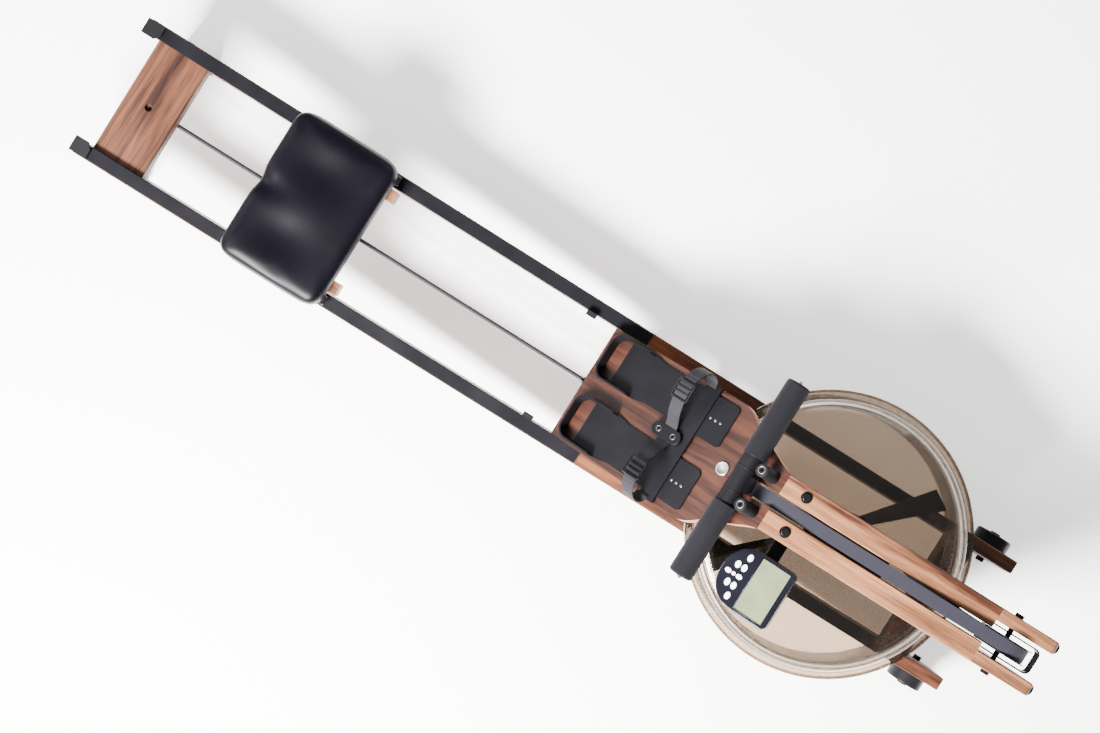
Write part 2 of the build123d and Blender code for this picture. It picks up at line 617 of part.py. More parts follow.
with BuildPart() as pull_strap:
    with BuildSketch(side(0)):
        with BuildLine():
            Polyline(
                (STRAP_START[0] - thick_x, STRAP_START[1] + thick_z),
                (strap_touch[0] - thick_x, strap_touch[1] + thick_z),
                (strap_touch[0] + thick_x, strap_touch[1] - thick_z),
                (STRAP_START[0] + thick_x, STRAP_START[1] - thick_z), close=True,
            )
        make_face()
    extrude(amount=STRAP_WIDE / 2, both=True)
save(pull_strap.part, "pull_strap")

TWIST_END_X, TWIST_STEPS = 890.0, 6
strap_low_z = PULLEY_Z - STRAP_R
roll_r = ROLL_R + STRAP_THICK / 2
leave = math.acos(roll_r / (TWIST_END_X - TANK_X))
twist_start = (TANK_X + roll_r * math.cos(leave), roll_r * math.sin(leave))

with BuildPart() as return_strap:
    with BuildSketch(side(0)):
        with BuildLine():
            outer_r, inner_r = STRAP_R + STRAP_THICK / 2, STRAP_R - STRAP_THICK / 2
            lap = [
                CenterArc((PULLEY_X, PULLEY_Z), radius, -90, 180 + math.degrees(climb))
                for radius in (outer_r, inner_r)
            ]
            Line(lap[0] @ 0, lap[1] @ 0)
            Line(lap[0] @ 1, lap[1] @ 1)
        make_face()
    extrude(amount=STRAP_WIDE / 2, both=True)
    for step in range(TWIST_STEPS + 1):
        share = step / TWIST_STEPS
        strap_x = twist_start[0] + (TWIST_END_X - twist_start[0]) * share
        twist = Plane(
            origin=(strap_x, twist_start[1] * (1 - share), strap_low_z),
            x_dir=(0, math.sin(math.pi / 2 * share), math.cos(math.pi / 2 * share)),
            z_dir=(1, 0, 0),
        )
        with BuildSketch(twist):
            Rectangle(STRAP_WIDE, STRAP_THICK)
    loft(ruled=True)
    with BuildSketch(across(TWIST_END_X)):
        with Locations((0, strap_low_z)):
            Rectangle(STRAP_WIDE, STRAP_THICK)
    extrude(amount=PULLEY_X - TWIST_END_X)
save(return_strap.part, "return_strap")

# ---- recoil cord, its pulleys and yokes ------------------------------------------------
DRUM_CORD_Y = CORD_PULLEY_R + CORD_R
CORD_ANCHOR_X = 286.0
REAR_AXLE_X, REAR_AXLE_Z = SPREADER_BOLT_X, (CORD_LOW_Z + CORD_HIGH_Z) / 2

slope_x = BOARD_START[0] + CORD_BEHIND_BOARD * math.sin(slope)
slope_z = BOARD_START[1] - CORD_BEHIND_BOARD * math.cos(slope)


def on_slope(z):
    """Corner of the cord's route on its sloping run, at a height."""
    return (slope_x + (z - slope_z) / math.tan(slope), 0, z)


low_corner, high_corner = on_slope(CORD_HIGH_Z), on_slope(DRUM_CORD_Z)
cord_route = [
    (CORD_ANCHOR_X, 0, CORD_LOW_Z),
    (REAR_AXLE_X - REAR_PULLEY_R, 0, CORD_LOW_Z),
    (REAR_AXLE_X - REAR_PULLEY_R, 0, CORD_HIGH_Z),
    low_corner,
    high_corner,
    (TANK_X + DRUM_CORD_Y, DRUM_CORD_Y + 0.5, DRUM_CORD_Z),
    (TANK_X + DRUM_CORD_Y, -DRUM_CORD_Y, DRUM_CORD_Z),
]
cord_radii = [REAR_PULLEY_R - 0.1, REAR_PULLEY_R - 0.1, CORD_PULLEY_R, CORD_PULLEY_R, DRUM_CORD_Y - 1]

with BuildPart() as recoil_cord:
    with BuildLine():
        cord_path = FilletPolyline(*cord_route, radius=cord_radii)
    with BuildSketch(Plane(origin=cord_path @ 0, z_dir=cord_path % 0)):
        Circle(CORD_R)
    sweep()
cord_length = cord_path.length
cord_share = recoil_cord.part.volume / (math.pi * CORD_R ** 2 * cord_length)
print("cord length", round(cord_length), "volume share", round(cord_share, 4))
save(recoil_cord.part, "recoil_cord")

half_turn = math.tan(slope / 2)
low_axle = (low_corner[0] - CORD_PULLEY_R * half_turn, CORD_HIGH_Z + CORD_PULLEY_R)
high_axle = (high_corner[0] + CORD_PULLEY_R * half_turn, DRUM_CORD_Z - CORD_PULLEY_R)
PULLEY_AXLE_R, PULLEY_HALF = 3.0, 7.0
GROOVE_R, GROOVE_GAP = 6.0, 0.5
cord_pulleys = (
    ("rear_pulley", (REAR_AXLE_X, REAR_AXLE_Z), REAR_PULLEY_R),
    ("guide_pulley_low", low_axle, CORD_PULLEY_R),
    ("guide_pulley_high", high_axle, CORD_PULLEY_R),
)

for pulley_name, axle, pitch_r in cord_pulleys:
    rim_r, bore_r = pitch_r + CORD_R, PULLEY_AXLE_R + RUNNING_GAP
    with BuildPart() as cord_pulley:
        with BuildSketch(Plane(origin=(axle[0], 0, axle[1]), x_dir=(1, 0, 0), z_dir=(0, 0, -1))):
            with Locations(((rim_r + bore_r) / 2, 0)):
                Rectangle(rim_r - bore_r, 2 * PULLEY_HALF)
            groove_at = pitch_r - CORD_R - GROOVE_GAP + GROOVE_R
            with Locations((groove_at, 0)):
                Circle(GROOVE_R, mode=Mode.SUBTRACT)
            with Locations((groove_at + CORD_R, 0)):
                Rectangle(2 * CORD_R, 2 * GROOVE_R, mode=Mode.SUBTRACT)
        revolve(axis=Axis((axle[0], 0, axle[1]), (0, 1, 0)))
    save(cord_pulley.part, pulley_name)

YOKE_THICK, YOKE_HALF, YOKE_WIDE = 3.0, 11.0, 16.0


def board_cheek(axle, lean_along):
    """Outline of a yoke cheek from an axle up to the footboard's underside."""
    along = up_board(axle[0]) + lean_along
    rear_root = on_board(along - YOKE_WIDE, -BOARD_THICK)
    front_root = on_board(along + YOKE_WIDE, -BOARD_THICK)
    half = YOKE_WIDE / 2
    return [
        rear_root, (axle[0] - half, axle[1] - half), (axle[0] + half, axle[1] - half), front_root,
    ]


rear_cheek = [
    (REAR_AXLE_X - 12, SPREADER_LOW), (REAR_AXLE_X - 8, REAR_AXLE_Z - 8),
    (REAR_AXLE_X + 8, REAR_AXLE_Z - 8), (REAR_AXLE_X + 12, SPREADER_LOW),
]
yokes = (
    ((REAR_AXLE_X, REAR_AXLE_Z), rear_cheek),
    (low_axle, board_cheek(low_axle, 0)),
    (high_axle, board_cheek(high_axle, -14)),
)

with BuildPart() as pulley_yokes:
    for axle, cheek in yokes:
        for sign in (1, -1):
            with BuildSketch(side(sign * (YOKE_HALF - YOKE_THICK / 2))):
                with BuildLine():
                    Polyline(*cheek, close=True)
                make_face()
            extrude(amount=YOKE_THICK / 2, both=True)
        with BuildSketch(cross_axle(axle[0], 0, axle[1])):
            Circle(PULLEY_AXLE_R)
        extrude(amount=YOKE_HALF + 2, both=True)
    with BuildSketch(across(CORD_ANCHOR_X)):
        with Locations((0, CORD_LOW_Z)):
            Circle(2 * CORD_R)
    extrude(amount=BULKHEAD_X[0] - CORD_ANCHOR_X)
save(pulley_yokes.part, "pulley_yokes")

# ---- handle and its pegs ---------------------------------------------------------------
CLAMP_HALF, CLAMP_WIDE, BAR_R, NUB_R = 50.0, 38.0, 11.0, 5.0
PEG_Y, PEG_R, PEG_HIGH, PEG_X = 36.0, 12.5, 57.0, 434.0
PEG_RING_R, PEG_RING_DEEP, PEG_SOCKET_R = 7.5, 8.0, 3.0
END_PLUG, NUB_OUT = 4.0, 5.0
NECK_AT_BAR, NECK_AT_STRAP = (17.0, 4.0), (6.0, -5.0)   # top and bottom of the strap's neck
NECK_X = STRAP_START[0] - 0.2

with BuildPart() as handle_bar:
    with BuildSketch(cross_axle(HANDLE[0], 0, HANDLE[1])):
        Circle(BAR_R)
    extrude(amount=HANDLE_LONG / 2 - END_PLUG, both=True)
    with BuildSketch(cross_axle(HANDLE[0], 0, HANDLE[1])):
        Circle(NUB_R)
    extrude(amount=HANDLE_LONG / 2 + NUB_OUT, both=True)
save(handle_bar.part, "handle_bar")

with BuildPart() as handle_grips:
    for _, sign in sides:
        with BuildSketch(cross_axle(HANDLE[0], sign * (CLAMP_HALF + HANDLE_LONG / 2) / 2, HANDLE[1])):
            Circle(GRIP_R)
        extrude(amount=(HANDLE_LONG / 2 - CLAMP_HALF) / 2, both=True)
    fillet(edges().filter_by(GeomType.CIRCLE).group_by(Axis.Y)[-1], 5)
    fillet(edges().filter_by(GeomType.CIRCLE).group_by(Axis.Y)[0], 5)
    with BuildSketch(cross_axle(HANDLE[0], 0, HANDLE[1])):
        Circle(BAR_R)
    extrude(amount=HANDLE_LONG / 2 - END_PLUG, both=True, mode=Mode.SUBTRACT)
    with BuildSketch(cross_axle(HANDLE[0], 0, HANDLE[1])):
        Circle(NUB_R)
    extrude(amount=HANDLE_LONG / 2 + NUB_OUT, both=True, mode=Mode.SUBTRACT)
save(handle_grips.part, "handle_grips")

with BuildPart() as handle_clamp:
    with BuildSketch(cross_axle(HANDLE[0], 0, HANDLE[1])):
        Circle(CLAMP_WIDE / 2)
    extrude(amount=CLAMP_HALF, both=True)
    chamfer(edges().filter_by(GeomType.CIRCLE), 1.5)
    with BuildSketch(side(0)):
        with BuildLine():
            Polyline(
                (HANDLE[0], HANDLE[1] + NECK_AT_BAR[0]), (NECK_X, STRAP_START[1] + NECK_AT_STRAP[0]),
                (NECK_X, STRAP_START[1] + NECK_AT_STRAP[1]), (HANDLE[0], HANDLE[1] + NECK_AT_BAR[1]),
                close=True,
            )
        make_face()
    extrude(amount=STRAP_WIDE / 2 + 3, both=True)
    with BuildSketch(cross_axle(HANDLE[0], 0, HANDLE[1])):
        Circle(BAR_R)
    extrude(amount=CLAMP_HALF + 1, both=True, mode=Mode.SUBTRACT)
save(handle_clamp.part, "handle_clamp")

with BuildPart() as handle_pegs:
    for _, sign in sides:
        with BuildSketch(board):
            with Locations((up_board(PEG_X), sign * PEG_Y)):
                Circle(PEG_R)
        extrude(amount=PEG_HIGH)
    fillet(faces().filter_by(board).group_by(Axis.Z)[-1].edges(), 3)
    with BuildSketch(board.offset(PEG_HIGH)):
        with Locations((up_board(PEG_X), PEG_Y), (up_board(PEG_X), -PEG_Y)):
            Circle(PEG_RING_R)
    extrude(amount=-PEG_RING_DEEP, mode=Mode.SUBTRACT)
save(handle_pegs.part, "handle_pegs")

with BuildPart() as peg_screws:
    with BuildSketch(board.offset(PEG_HIGH - PEG_RING_DEEP)):
        with Locations((up_board(PEG_X), PEG_Y), (up_board(PEG_X), -PEG_Y)):
            Circle(PEG_RING_R)
    extrude(amount=PEG_RING_DEEP - 1)
    with BuildSketch(board.offset(PEG_HIGH - 1)):
        with Locations((up_board(PEG_X), PEG_Y), (up_board(PEG_X), -PEG_Y)):
            RegularPolygon(PEG_SOCKET_R, 6)
    extrude(amount=-4, mode=Mode.SUBTRACT)
save(peg_screws.part, "peg_screws")

# ---- heel rests, foot bar and straps ---------------------------------------------------
HEEL_Y, HEEL_HALF, INSTEP_HALF = 69.0, 49.0, 43.0
LOOP_START, LOOP_END, LOOP_CORNER = 22.0, 115.0, 26.0
LOOP_THICK, LOOP_HIGH = 3.5, 25.0
PLATE_LIFT, PLATE_THICK, PLATE_CORNER = 0.4, 4.0, 9.0
sole_outline = [(58.0, HEEL_HALF), (120.0, HEEL_HALF), (150.0, INSTEP_HALF), (337.0, INSTEP_HALF)]
TAB_PEGS, TAB_PEG_R, TAB_PEG_PROUD = (291.0, 303.0, 315.0), 3.2, 0.35
LOOP_RUN = 2 * (LOOP_END - LOOP_START)

for side_name, sign in sides:
    with BuildPart() as heel_rest:
        with BuildSketch(board.offset(PLATE_LIFT)):
            with BuildLine():
                Polyline(
                    *[(along, sign * HEEL_Y + half) for along, half in sole_outline],
                    *[(along, sign * HEEL_Y - half) for along, half in reversed(sole_outline)],
                    close=True,
                )
            make_face()
            fillet(vertices().group_by(Axis.X)[-1], PLATE_CORNER)
        extrude(amount=PLATE_THICK)
        with BuildSketch(board.offset(PLATE_LIFT)):
            with Locations((LOOP_START + LOOP_RUN / 2, sign * HEEL_Y)):
                RectangleRounded(LOOP_RUN, 2 * HEEL_HALF, LOOP_CORNER)
                RectangleRounded(
                    LOOP_RUN - 2 * LOOP_THICK, 2 * (HEEL_HALF - LOOP_THICK),
                    LOOP_CORNER - LOOP_THICK, mode=Mode.SUBTRACT,
                )
            with Locations((LOOP_END + LOOP_RUN / 2, sign * HEEL_Y)):
                Rectangle(LOOP_RUN, 2 * HEEL_HALF + 2, mode=Mode.SUBTRACT)
        extrude(amount=LOOP_HIGH)
        with BuildSketch(board.offset(PLATE_LIFT)):
            with Locations([(along, sign * HEEL_Y) for along in TAB_PEGS]):
                Circle(TAB_PEG_R)
        extrude(amount=PLATE_THICK + TAB_PEG_PROUD)
    save(heel_rest.part, f"heel_rest_{side_name}")

BAR_ALONG, FOOT_BAR_WIDE = 266.0, 34.0
FOOT_BAR_LIFT, FOOT_BAR_THICK, FOOT_BAR_HALF = 5.0, 4.0, 126.0
BAR_MID_LONG, BAR_END_LONG, BAR_END_Y = 30.0, 7.0, 121.5
HUB_ALONG, HUB_LONG, HUB_WIDE = 234.0, 70.0, 28.0
ARCH_ALONG = 248.0

with BuildPart() as foot_bar:
    with BuildSketch(board.offset(FOOT_BAR_LIFT)):
        with Locations((BAR_ALONG, 0)):
            Rectangle(FOOT_BAR_WIDE, 2 * FOOT_BAR_HALF)
    extrude(amount=FOOT_BAR_THICK)
    with BuildSketch(board):
        with Locations((BAR_ALONG, 0)):
            Rectangle(FOOT_BAR_WIDE, BAR_MID_LONG)
        with Locations((BAR_ALONG, BAR_END_Y), (BAR_ALONG, -BAR_END_Y)):
            Rectangle(FOOT_BAR_WIDE, BAR_END_LONG)
    extrude(amount=FOOT_BAR_LIFT)
save(foot_bar.part, "foot_bar")

STRAP_W, WEB = 28.0, 2.5
STRAP_BASE = FOOT_BAR_LIFT + FOOT_BAR_THICK
HUB_LIFT, HUB_CAP = STRAP_BASE + 3.4, 5.0
HUB_SCREW_ALONG, HUB_SCREW_R, HUB_SCREW_HIGH = 18.0, 5.0, 1.5
HUB_FOOT_BACK, HUB_FOOT_LONG, HUB_FOOT_WIDE = 12.0, 36.0, 22.0
BUCKLE_AT, BUCKLE_LONG, BUCKLE_HIGH, BUCKLE_TURN = (80.0, 62.0), 34.0, 8.0, -12.0
BUCKLE_HALF = STRAP_W / 2 + 4
strap_arch = [
    (14, STRAP_BASE + 2), (32, 28), (64, 54), (98, 60), (129, 44), (138, 24), (121, STRAP_BASE + 2),
]


def arch_plane(sign):
    """Plane across the footboard at the foot bar: local x is outward, local y stands off it."""
    return Plane(
        origin=board.from_local_coords((ARCH_ALONG, 0, 0)), x_dir=(0, sign, 0),
        z_dir=board.x_dir * sign,
    )


with BuildPart() as foot_straps:
    for _, sign in sides:
        with BuildSketch(arch_plane(sign)):
            with BuildLine():
                Spline(*strap_arch)
            trace(line_width=WEB)
        extrude(amount=STRAP_W / 2, both=True)
save(foot_straps.part, "foot_straps")

with BuildPart() as strap_fittings:
    with BuildSketch(board.offset(HUB_LIFT)):
        with Locations((HUB_ALONG, 0)):
            SlotOverall(HUB_LONG, HUB_WIDE)
    extrude(amount=HUB_CAP)
    fillet(faces().filter_by(board).group_by(Axis.Z)[-1].edges(), 1.5)
    with BuildSketch(board):
        with Locations((HUB_ALONG - HUB_FOOT_BACK, 0)):
            SlotOverall(HUB_FOOT_LONG, HUB_FOOT_WIDE)
    extrude(amount=HUB_LIFT)
    with BuildSketch(board.offset(HUB_LIFT + HUB_CAP)):
        with Locations((HUB_ALONG - HUB_SCREW_ALONG, 0), (HUB_ALONG + HUB_SCREW_ALONG, 0)):
            Circle(HUB_SCREW_R)
    extrude(amount=HUB_SCREW_HIGH)
    for _, sign in sides:
        with BuildSketch(arch_plane(sign)):
            with Locations(Location((*BUCKLE_AT, 0), (0, 0, BUCKLE_TURN))):
                RectangleRounded(BUCKLE_LONG, BUCKLE_HIGH, 2)
        extrude(amount=BUCKLE_HALF, both=True)
    for _, sign in sides:
        with BuildSketch(arch_plane(sign)):
            with BuildLine():
                Spline(*strap_arch)
            trace(line_width=WEB)
        extrude(amount=STRAP_W / 2, both=True, mode=Mode.SUBTRACT)
save(strap_fittings.part, "strap_fittings")

# ---- monitor ---------------------------------------------------------------------------
tilt = math.radians(MONITOR_TILT)
monitor = Plane(
    origin=MONITOR_AT, x_dir=(math.cos(tilt), 0, math.sin(tilt)),
    z_dir=(-math.sin(tilt), 0, math.cos(tilt)),
)
SCREEN_X, SCREEN_LONG, SCREEN_WIDE, SCREEN_DEEP = 23.5, 56.0, 103.0, 2.0
CASE_REAR_ROUND, CASE_FRONT_ROUND, CASE_EDGE = 52.0, 12.0, 3.0
ROW_X, OUTER_ROW_X, BUTTON_SINK = -24.7, -38.0, 3.0
BUTTON_HALF = (5.0, 7.0)
KEY_MIDDLE_R, KEY_ARROW, KEY_GAP, KEY_PROUD = 3.6, (6.0, 4.6), 0.35, 2.0
HINGE_DEEP, HINGE_X, HINGE_R, HINGE_PIN_R = -36.5, 10.0, 7.0, 3.0
EAR_Y, EAR_HALF = 24.0, 4.0
button_places = [
    (ROW_X, 39.4), (ROW_X, 18.4), (ROW_X, -18.4), (ROW_X, -39.4),
    (OUTER_ROW_X, 18.4), (OUTER_ROW_X, -18.4),
    (ROW_X, 0), (-36.1, 0), (-47.5, 0),
]


def button_outline(index, grow=0.0):
    """Draws one button: six ovals, then the round middle one between its two neighbours."""
    if index < 6:
        Ellipse(BUTTON_HALF[0] + grow, BUTTON_HALF[1] + grow)
    elif index == 7:
        Circle(KEY_MIDDLE_R + grow)
    else:
        Ellipse(KEY_ARROW[0] + grow, KEY_ARROW[1] + grow)


with BuildPart() as monitor_case:
    with BuildSketch(monitor.offset(-MONITOR_THICK)):
        Rectangle(MONITOR_LONG, MONITOR_WIDE)
        fillet(vertices().group_by(Axis.X)[-1], CASE_FRONT_ROUND)
        fillet(vertices().group_by(Axis.X)[0], CASE_REAR_ROUND)
    extrude(amount=MONITOR_THICK)
    fillet(faces().filter_by(monitor).sort_by(Axis.Z)[-1].edges(), CASE_EDGE)
    with BuildSketch(monitor.offset(-SCREEN_DEEP)):
        with Locations((SCREEN_X, 0)):
            Rectangle(SCREEN_LONG, SCREEN_WIDE)
    extrude(amount=2 * SCREEN_DEEP, mode=Mode.SUBTRACT)
    for index, place in enumerate(button_places):
        with BuildSketch(monitor.offset(-BUTTON_SINK - 1.6)):
            with Locations(place):
                button_outline(index, KEY_GAP)
        extrude(amount=2 * BUTTON_SINK, mode=Mode.SUBTRACT)
    for offset_y in (-EAR_Y, EAR_Y):
        ear = Plane(
            origin=monitor.from_local_coords((HINGE_X, offset_y, HINGE_DEEP)),
            x_dir=monitor.x_dir, z_dir=(0, 1, 0),
        )
        with BuildSketch(ear):
            Circle(HINGE_R)
            with Locations((0, -HINGE_R)):
                Rectangle(2 * HINGE_R, 2 * HINGE_R)
            Circle(HINGE_PIN_R + RUNNING_GAP, mode=Mode.SUBTRACT)
        extrude(amount=EAR_HALF, both=True)
save(monitor_case.part, "monitor_case")

with BuildPart() as monitor_screen:
    with BuildSketch(monitor.offset(-SCREEN_DEEP)):
        with Locations((SCREEN_X, 0)):
            Rectangle(SCREEN_LONG, SCREEN_WIDE)
    extrude(amount=1.2)
save(monitor_screen.part, "monitor_screen")

for index, place in enumerate(button_places):
    with BuildPart() as button:
        with BuildSketch(monitor.offset(-BUTTON_SINK)):
            with Locations(place):
                button_outline(index)
        extrude(amount=BUTTON_SINK + KEY_PROUD)
        fillet(faces().filter_by(monitor).sort_by(Axis.Z)[-1].edges(), 1.2)
    save(button.part, f"button_{index + 1}")

hinge_at = monitor.from_local_coords((HINGE_X, 0, HINGE_DEEP))
MONITOR_ARM_WIDE, MONITOR_ARM_THICK, ARM_END_ROUND = 26.0, 12.0, 8.0
POST_HALF, ARM_ROOT_Y = 14.0, ARM_IN + 6
arm_end_y = MONITOR_AT[1] - POST_HALF

with BuildPart() as monitor_arm:
    with BuildSketch(Plane.XY.offset(ARM_LOW - MONITOR_ARM_THICK)):
        with Locations((hinge_at.X, (arm_end_y - ARM_ROOT_Y) / 2)):
            Rectangle(MONITOR_ARM_WIDE, -arm_end_y - ARM_ROOT_Y)
    extrude(amount=MONITOR_ARM_THICK)
    fillet(edges().filter_by(Axis.Z).group_by(Axis.Y)[0], ARM_END_ROUND)
    with BuildSketch(cross_axle(hinge_at.X, MONITOR_AT[1], hinge_at.Z)):
        Circle(HINGE_R)
        with Locations((0, (hinge_at.Z - ARM_LOW) / 2)):
            Rectangle(2 * HINGE_R, hinge_at.Z - ARM_LOW)
    extrude(amount=POST_HALF, both=True)
    with BuildSketch(cross_axle(hinge_at.X, MONITOR_AT[1], hinge_at.Z)):
        Circle(HINGE_PIN_R)
    extrude(amount=EAR_Y + EAR_HALF + 1, both=True)
save(monitor_arm.part, "monitor_arm")
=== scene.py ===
import math

import bmesh
import bpy
from bpy.props import FloatProperty, FloatVectorProperty, IntProperty, PointerProperty
from mathutils import Matrix, Vector


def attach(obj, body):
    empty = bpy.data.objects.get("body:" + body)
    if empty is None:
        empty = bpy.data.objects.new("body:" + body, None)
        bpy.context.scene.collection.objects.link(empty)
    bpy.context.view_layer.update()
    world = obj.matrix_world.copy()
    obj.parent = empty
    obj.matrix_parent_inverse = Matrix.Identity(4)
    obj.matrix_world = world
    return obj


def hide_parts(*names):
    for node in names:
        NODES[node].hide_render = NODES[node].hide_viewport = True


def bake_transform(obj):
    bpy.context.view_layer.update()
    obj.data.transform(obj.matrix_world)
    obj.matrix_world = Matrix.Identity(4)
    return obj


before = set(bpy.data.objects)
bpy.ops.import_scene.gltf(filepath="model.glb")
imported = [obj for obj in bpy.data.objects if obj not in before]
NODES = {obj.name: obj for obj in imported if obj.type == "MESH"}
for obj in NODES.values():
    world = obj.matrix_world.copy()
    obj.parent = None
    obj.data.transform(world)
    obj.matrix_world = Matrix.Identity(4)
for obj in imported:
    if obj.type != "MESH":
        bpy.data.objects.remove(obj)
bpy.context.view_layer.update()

bl_info = {
    "name": "Rowing Machine",
    "version": (1, 0, 0),
    "blender": (4, 5, 0),
    "location": "View3D > Sidebar > Rower",
    "description": "Finishes a wooden rowing machine: wood, seat, webbing, tank and small trim",
    "category": "Add Mesh",
}

SIDES = (("left", 1), ("right", -1))

# The machine is drawn square to its rails and leans nose down onto the floor.
LEAN = math.radians(2.8)
MACHINE = Matrix.Translation((-0.0131, 0, 0)) @ Matrix.Rotation(LEAN, 4, "Y")
BOARD_SLOPE = math.radians(37.6)
BOARD = MACHINE @ Matrix.Translation((0.068, 0, 0.192)) @ Matrix.Rotation(-BOARD_SLOPE, 4, "Y")
MONITOR = (
    MACHINE @ Matrix.Translation((0.496, -0.148, 0.503))
    @ Matrix.Rotation(-math.radians(22), 4, "Y")
)
# The drum, the paddle and the tank share one upright line.
DRUM_X = 0.624


# ---- settings --------------------------------------------------------------------------
class RowerWood(bpy.types.PropertyGroup):
    """Colours of the oiled walnut."""

    rail_light: FloatVectorProperty(
        name="Rail light", description="Light grain of the rails", subtype="COLOR",
        size=3, min=0, max=1, default=(0.110, 0.041, 0.021))
    rail_dark: FloatVectorProperty(
        name="Rail dark", description="Dark grain of the rails", subtype="COLOR",
        size=3, min=0, max=1, default=(0.015, 0.0050, 0.0034))
    # The board's tones are the same walnut darkened as painted shade, because the board lies in shade.
    board_light: FloatVectorProperty(
        name="Board light", description="Light grain of the footboard", subtype="COLOR",
        size=3, min=0, max=1, default=(0.052, 0.0175, 0.0105))
    board_dark: FloatVectorProperty(
        name="Board dark", description="Dark grain of the footboard", subtype="COLOR",
        size=3, min=0, max=1, default=(0.011, 0.0036, 0.0027))
    arm_light: FloatVectorProperty(
        name="Arm light", description="Light grain of the arms and front legs", subtype="COLOR",
        size=3, min=0, max=1, default=(0.310, 0.142, 0.070))
    arm_dark: FloatVectorProperty(
        name="Arm dark", description="Dark grain of the arms and front legs", subtype="COLOR",
        size=3, min=0, max=1, default=(0.046, 0.0155, 0.0080))


class RowerSeat(bpy.types.PropertyGroup):
    """Shape of the seat pad."""

    cheek: FloatProperty(
        name="Cheek depth", description="How far each cheek sinks in", unit="LENGTH",
        default=0.008, min=0, max=0.02)
    notch: FloatProperty(
        name="Notch depth", description="Depth of the hollow for the tail bone", unit="LENGTH",
        default=0.007, min=0, max=0.02)
    swell: FloatProperty(
        name="Swell", description="Most that the foam may push the cover out", unit="LENGTH",
        default=0.0022, min=0, max=0.02)


class RowerWebbing(bpy.types.PropertyGroup):
    """Sizes of the webbing straps."""

    pull_width: FloatProperty(
        name="Pull strap width", description="Width of the pull strap", unit="LENGTH",
        default=0.025, min=0.01, max=0.05)
    foot_width: FloatProperty(
        name="Foot strap width", description="Width of the foot straps", unit="LENGTH",
        default=0.028, min=0.02, max=0.06)
    thickness: FloatProperty(
        name="Webbing thickness", description="Thickness of the webbing", unit="LENGTH",
        default=0.002, min=0.001, max=0.004)
    steps: IntProperty(
        name="Steps", description="Divisions along each strap", default=48, min=8, max=200)


class RowerTank(bpy.types.PropertyGroup):
    """Look of the clear tank."""

    tint: FloatVectorProperty(
        name="Tint", description="Colour of the smoke-tinted wall", subtype="COLOR",
        size=3, min=0, max=1, default=(0.725, 0.668, 0.612))
    haze: FloatProperty(
        name="Haze", description="How much of the wall hides what is behind it", subtype="FACTOR",
        default=0.004, min=0, max=1)


class RowerStage(bpy.types.PropertyGroup):
    """Camera and light."""

    lens: FloatProperty(
        name="Lens", description="Focal length", subtype="NONE", default=42.437, min=10, max=200)
    key_power: FloatProperty(
        name="Key light", description="Power of the soft key light", unit="POWER",
        default=1450, min=0, max=3000)


# ---- shader helpers --------------------------------------------------------------------
class Finish:
    """A new material with short ways to add, set and join its nodes."""

    def __init__(self, name):
        self.material = bpy.data.materials.new(name)
        self.material.use_nodes = True
        self.nodes = self.material.node_tree.nodes
        self.links = self.material.node_tree.links
        self.shader = self.nodes["Principled BSDF"]
        self.place = self.nodes.new("ShaderNodeTexCoord")

    def set(self, **sockets):
        """Sets the shader's own sockets, named with underscores for spaces."""
        for name, value in sockets.items():
            socket = self.shader.inputs[name.replace("_", " ")]
            socket.default_value = (*value, 1.0) if isinstance(value, tuple) else value
        return self

    def add(self, kind, inputs=None, **facts):
        """Adds a node, sets its facts, and joins or sets its inputs."""
        node = self.nodes.new("ShaderNode" + kind)
        for name, value in facts.items():
            setattr(node, name, value)
        for name, value in (inputs or {}).items():
            if isinstance(value, bpy.types.NodeSocket):
                self.links.new(value, node.inputs[name])
            else:
                node.inputs[name].default_value = value
        return node

    def mapped(self, turn=(0, 0, 0), scale=(1, 1, 1)):
        """Object coordinates turned first and then scaled."""
        turned = self.add("Mapping", {"Vector": self.place.outputs["Object"], "Rotation": turn})
        return self.add("Mapping", {"Vector": turned.outputs[0], "Scale": scale}).outputs[0]

    def ramp(self, factor, *stops):
        """A colour for each stop, blended between them."""
        ramp = self.add("ValToRGB", {"Fac": factor})
        elements = ramp.color_ramp.elements
        while len(elements) < len(stops):
            elements.new(0.5)
        for element, (position, colour) in zip(elements, stops):
            element.position = position
            element.color = (*colour, 1.0)
        return ramp.outputs["Color"]

    def grey_ramp(self, factor, low, high, start=0.0, end=1.0):
        """Maps a factor from start..end onto low..high."""
        return self.add("MapRange", {
            "Value": factor, "From Min": start, "From Max": end, "To Min": low, "To Max": high,
        }).outputs["Result"]

    def mix(self, factor, first, second, blend="MIX"):
        """Blends two colours, each a socket or a fixed tone."""
        mix = self.add("Mix", data_type="RGBA", blend_type=blend)
        for socket, value in ((mix.inputs[0], factor), (mix.inputs[6], first), (mix.inputs[7], second)):
            if isinstance(value, bpy.types.NodeSocket):
                self.links.new(value, socket)
            elif isinstance(value, tuple):
                socket.default_value = (*value, 1.0)
            else:
                socket.default_value = value
        return mix.outputs[2]

    def colour(self, socket):
        self.links.new(socket, self.shader.inputs["Base Color"])
        return self

    def rough(self, socket):
        self.links.new(socket, self.shader.inputs["Roughness"])
        return self

    def bump(self, height, strength, distance):
        """Adds a relief on top of any the shader already has."""
        node = self.add("Bump", {"Height": height, "Strength": strength, "Distance": distance})
        before = self.shader.inputs["Normal"]
        if before.is_linked:
            self.links.new(before.links[0].from_socket, node.inputs["Normal"])
        self.links.new(node.outputs["Normal"], before)
        return self


finishes = {}


def finish(name):
    """Decorator: makes the material once and keeps it under its name."""
    def keep(maker):
        def made():
            if name not in finishes:
                finishes[name] = maker().material
            return finishes[name]
        return made
    return keep


def along(axis):
    """Turn that brings the grain's direction, in the XZ plane, onto the texture's X."""
    return (0, axis, 0)


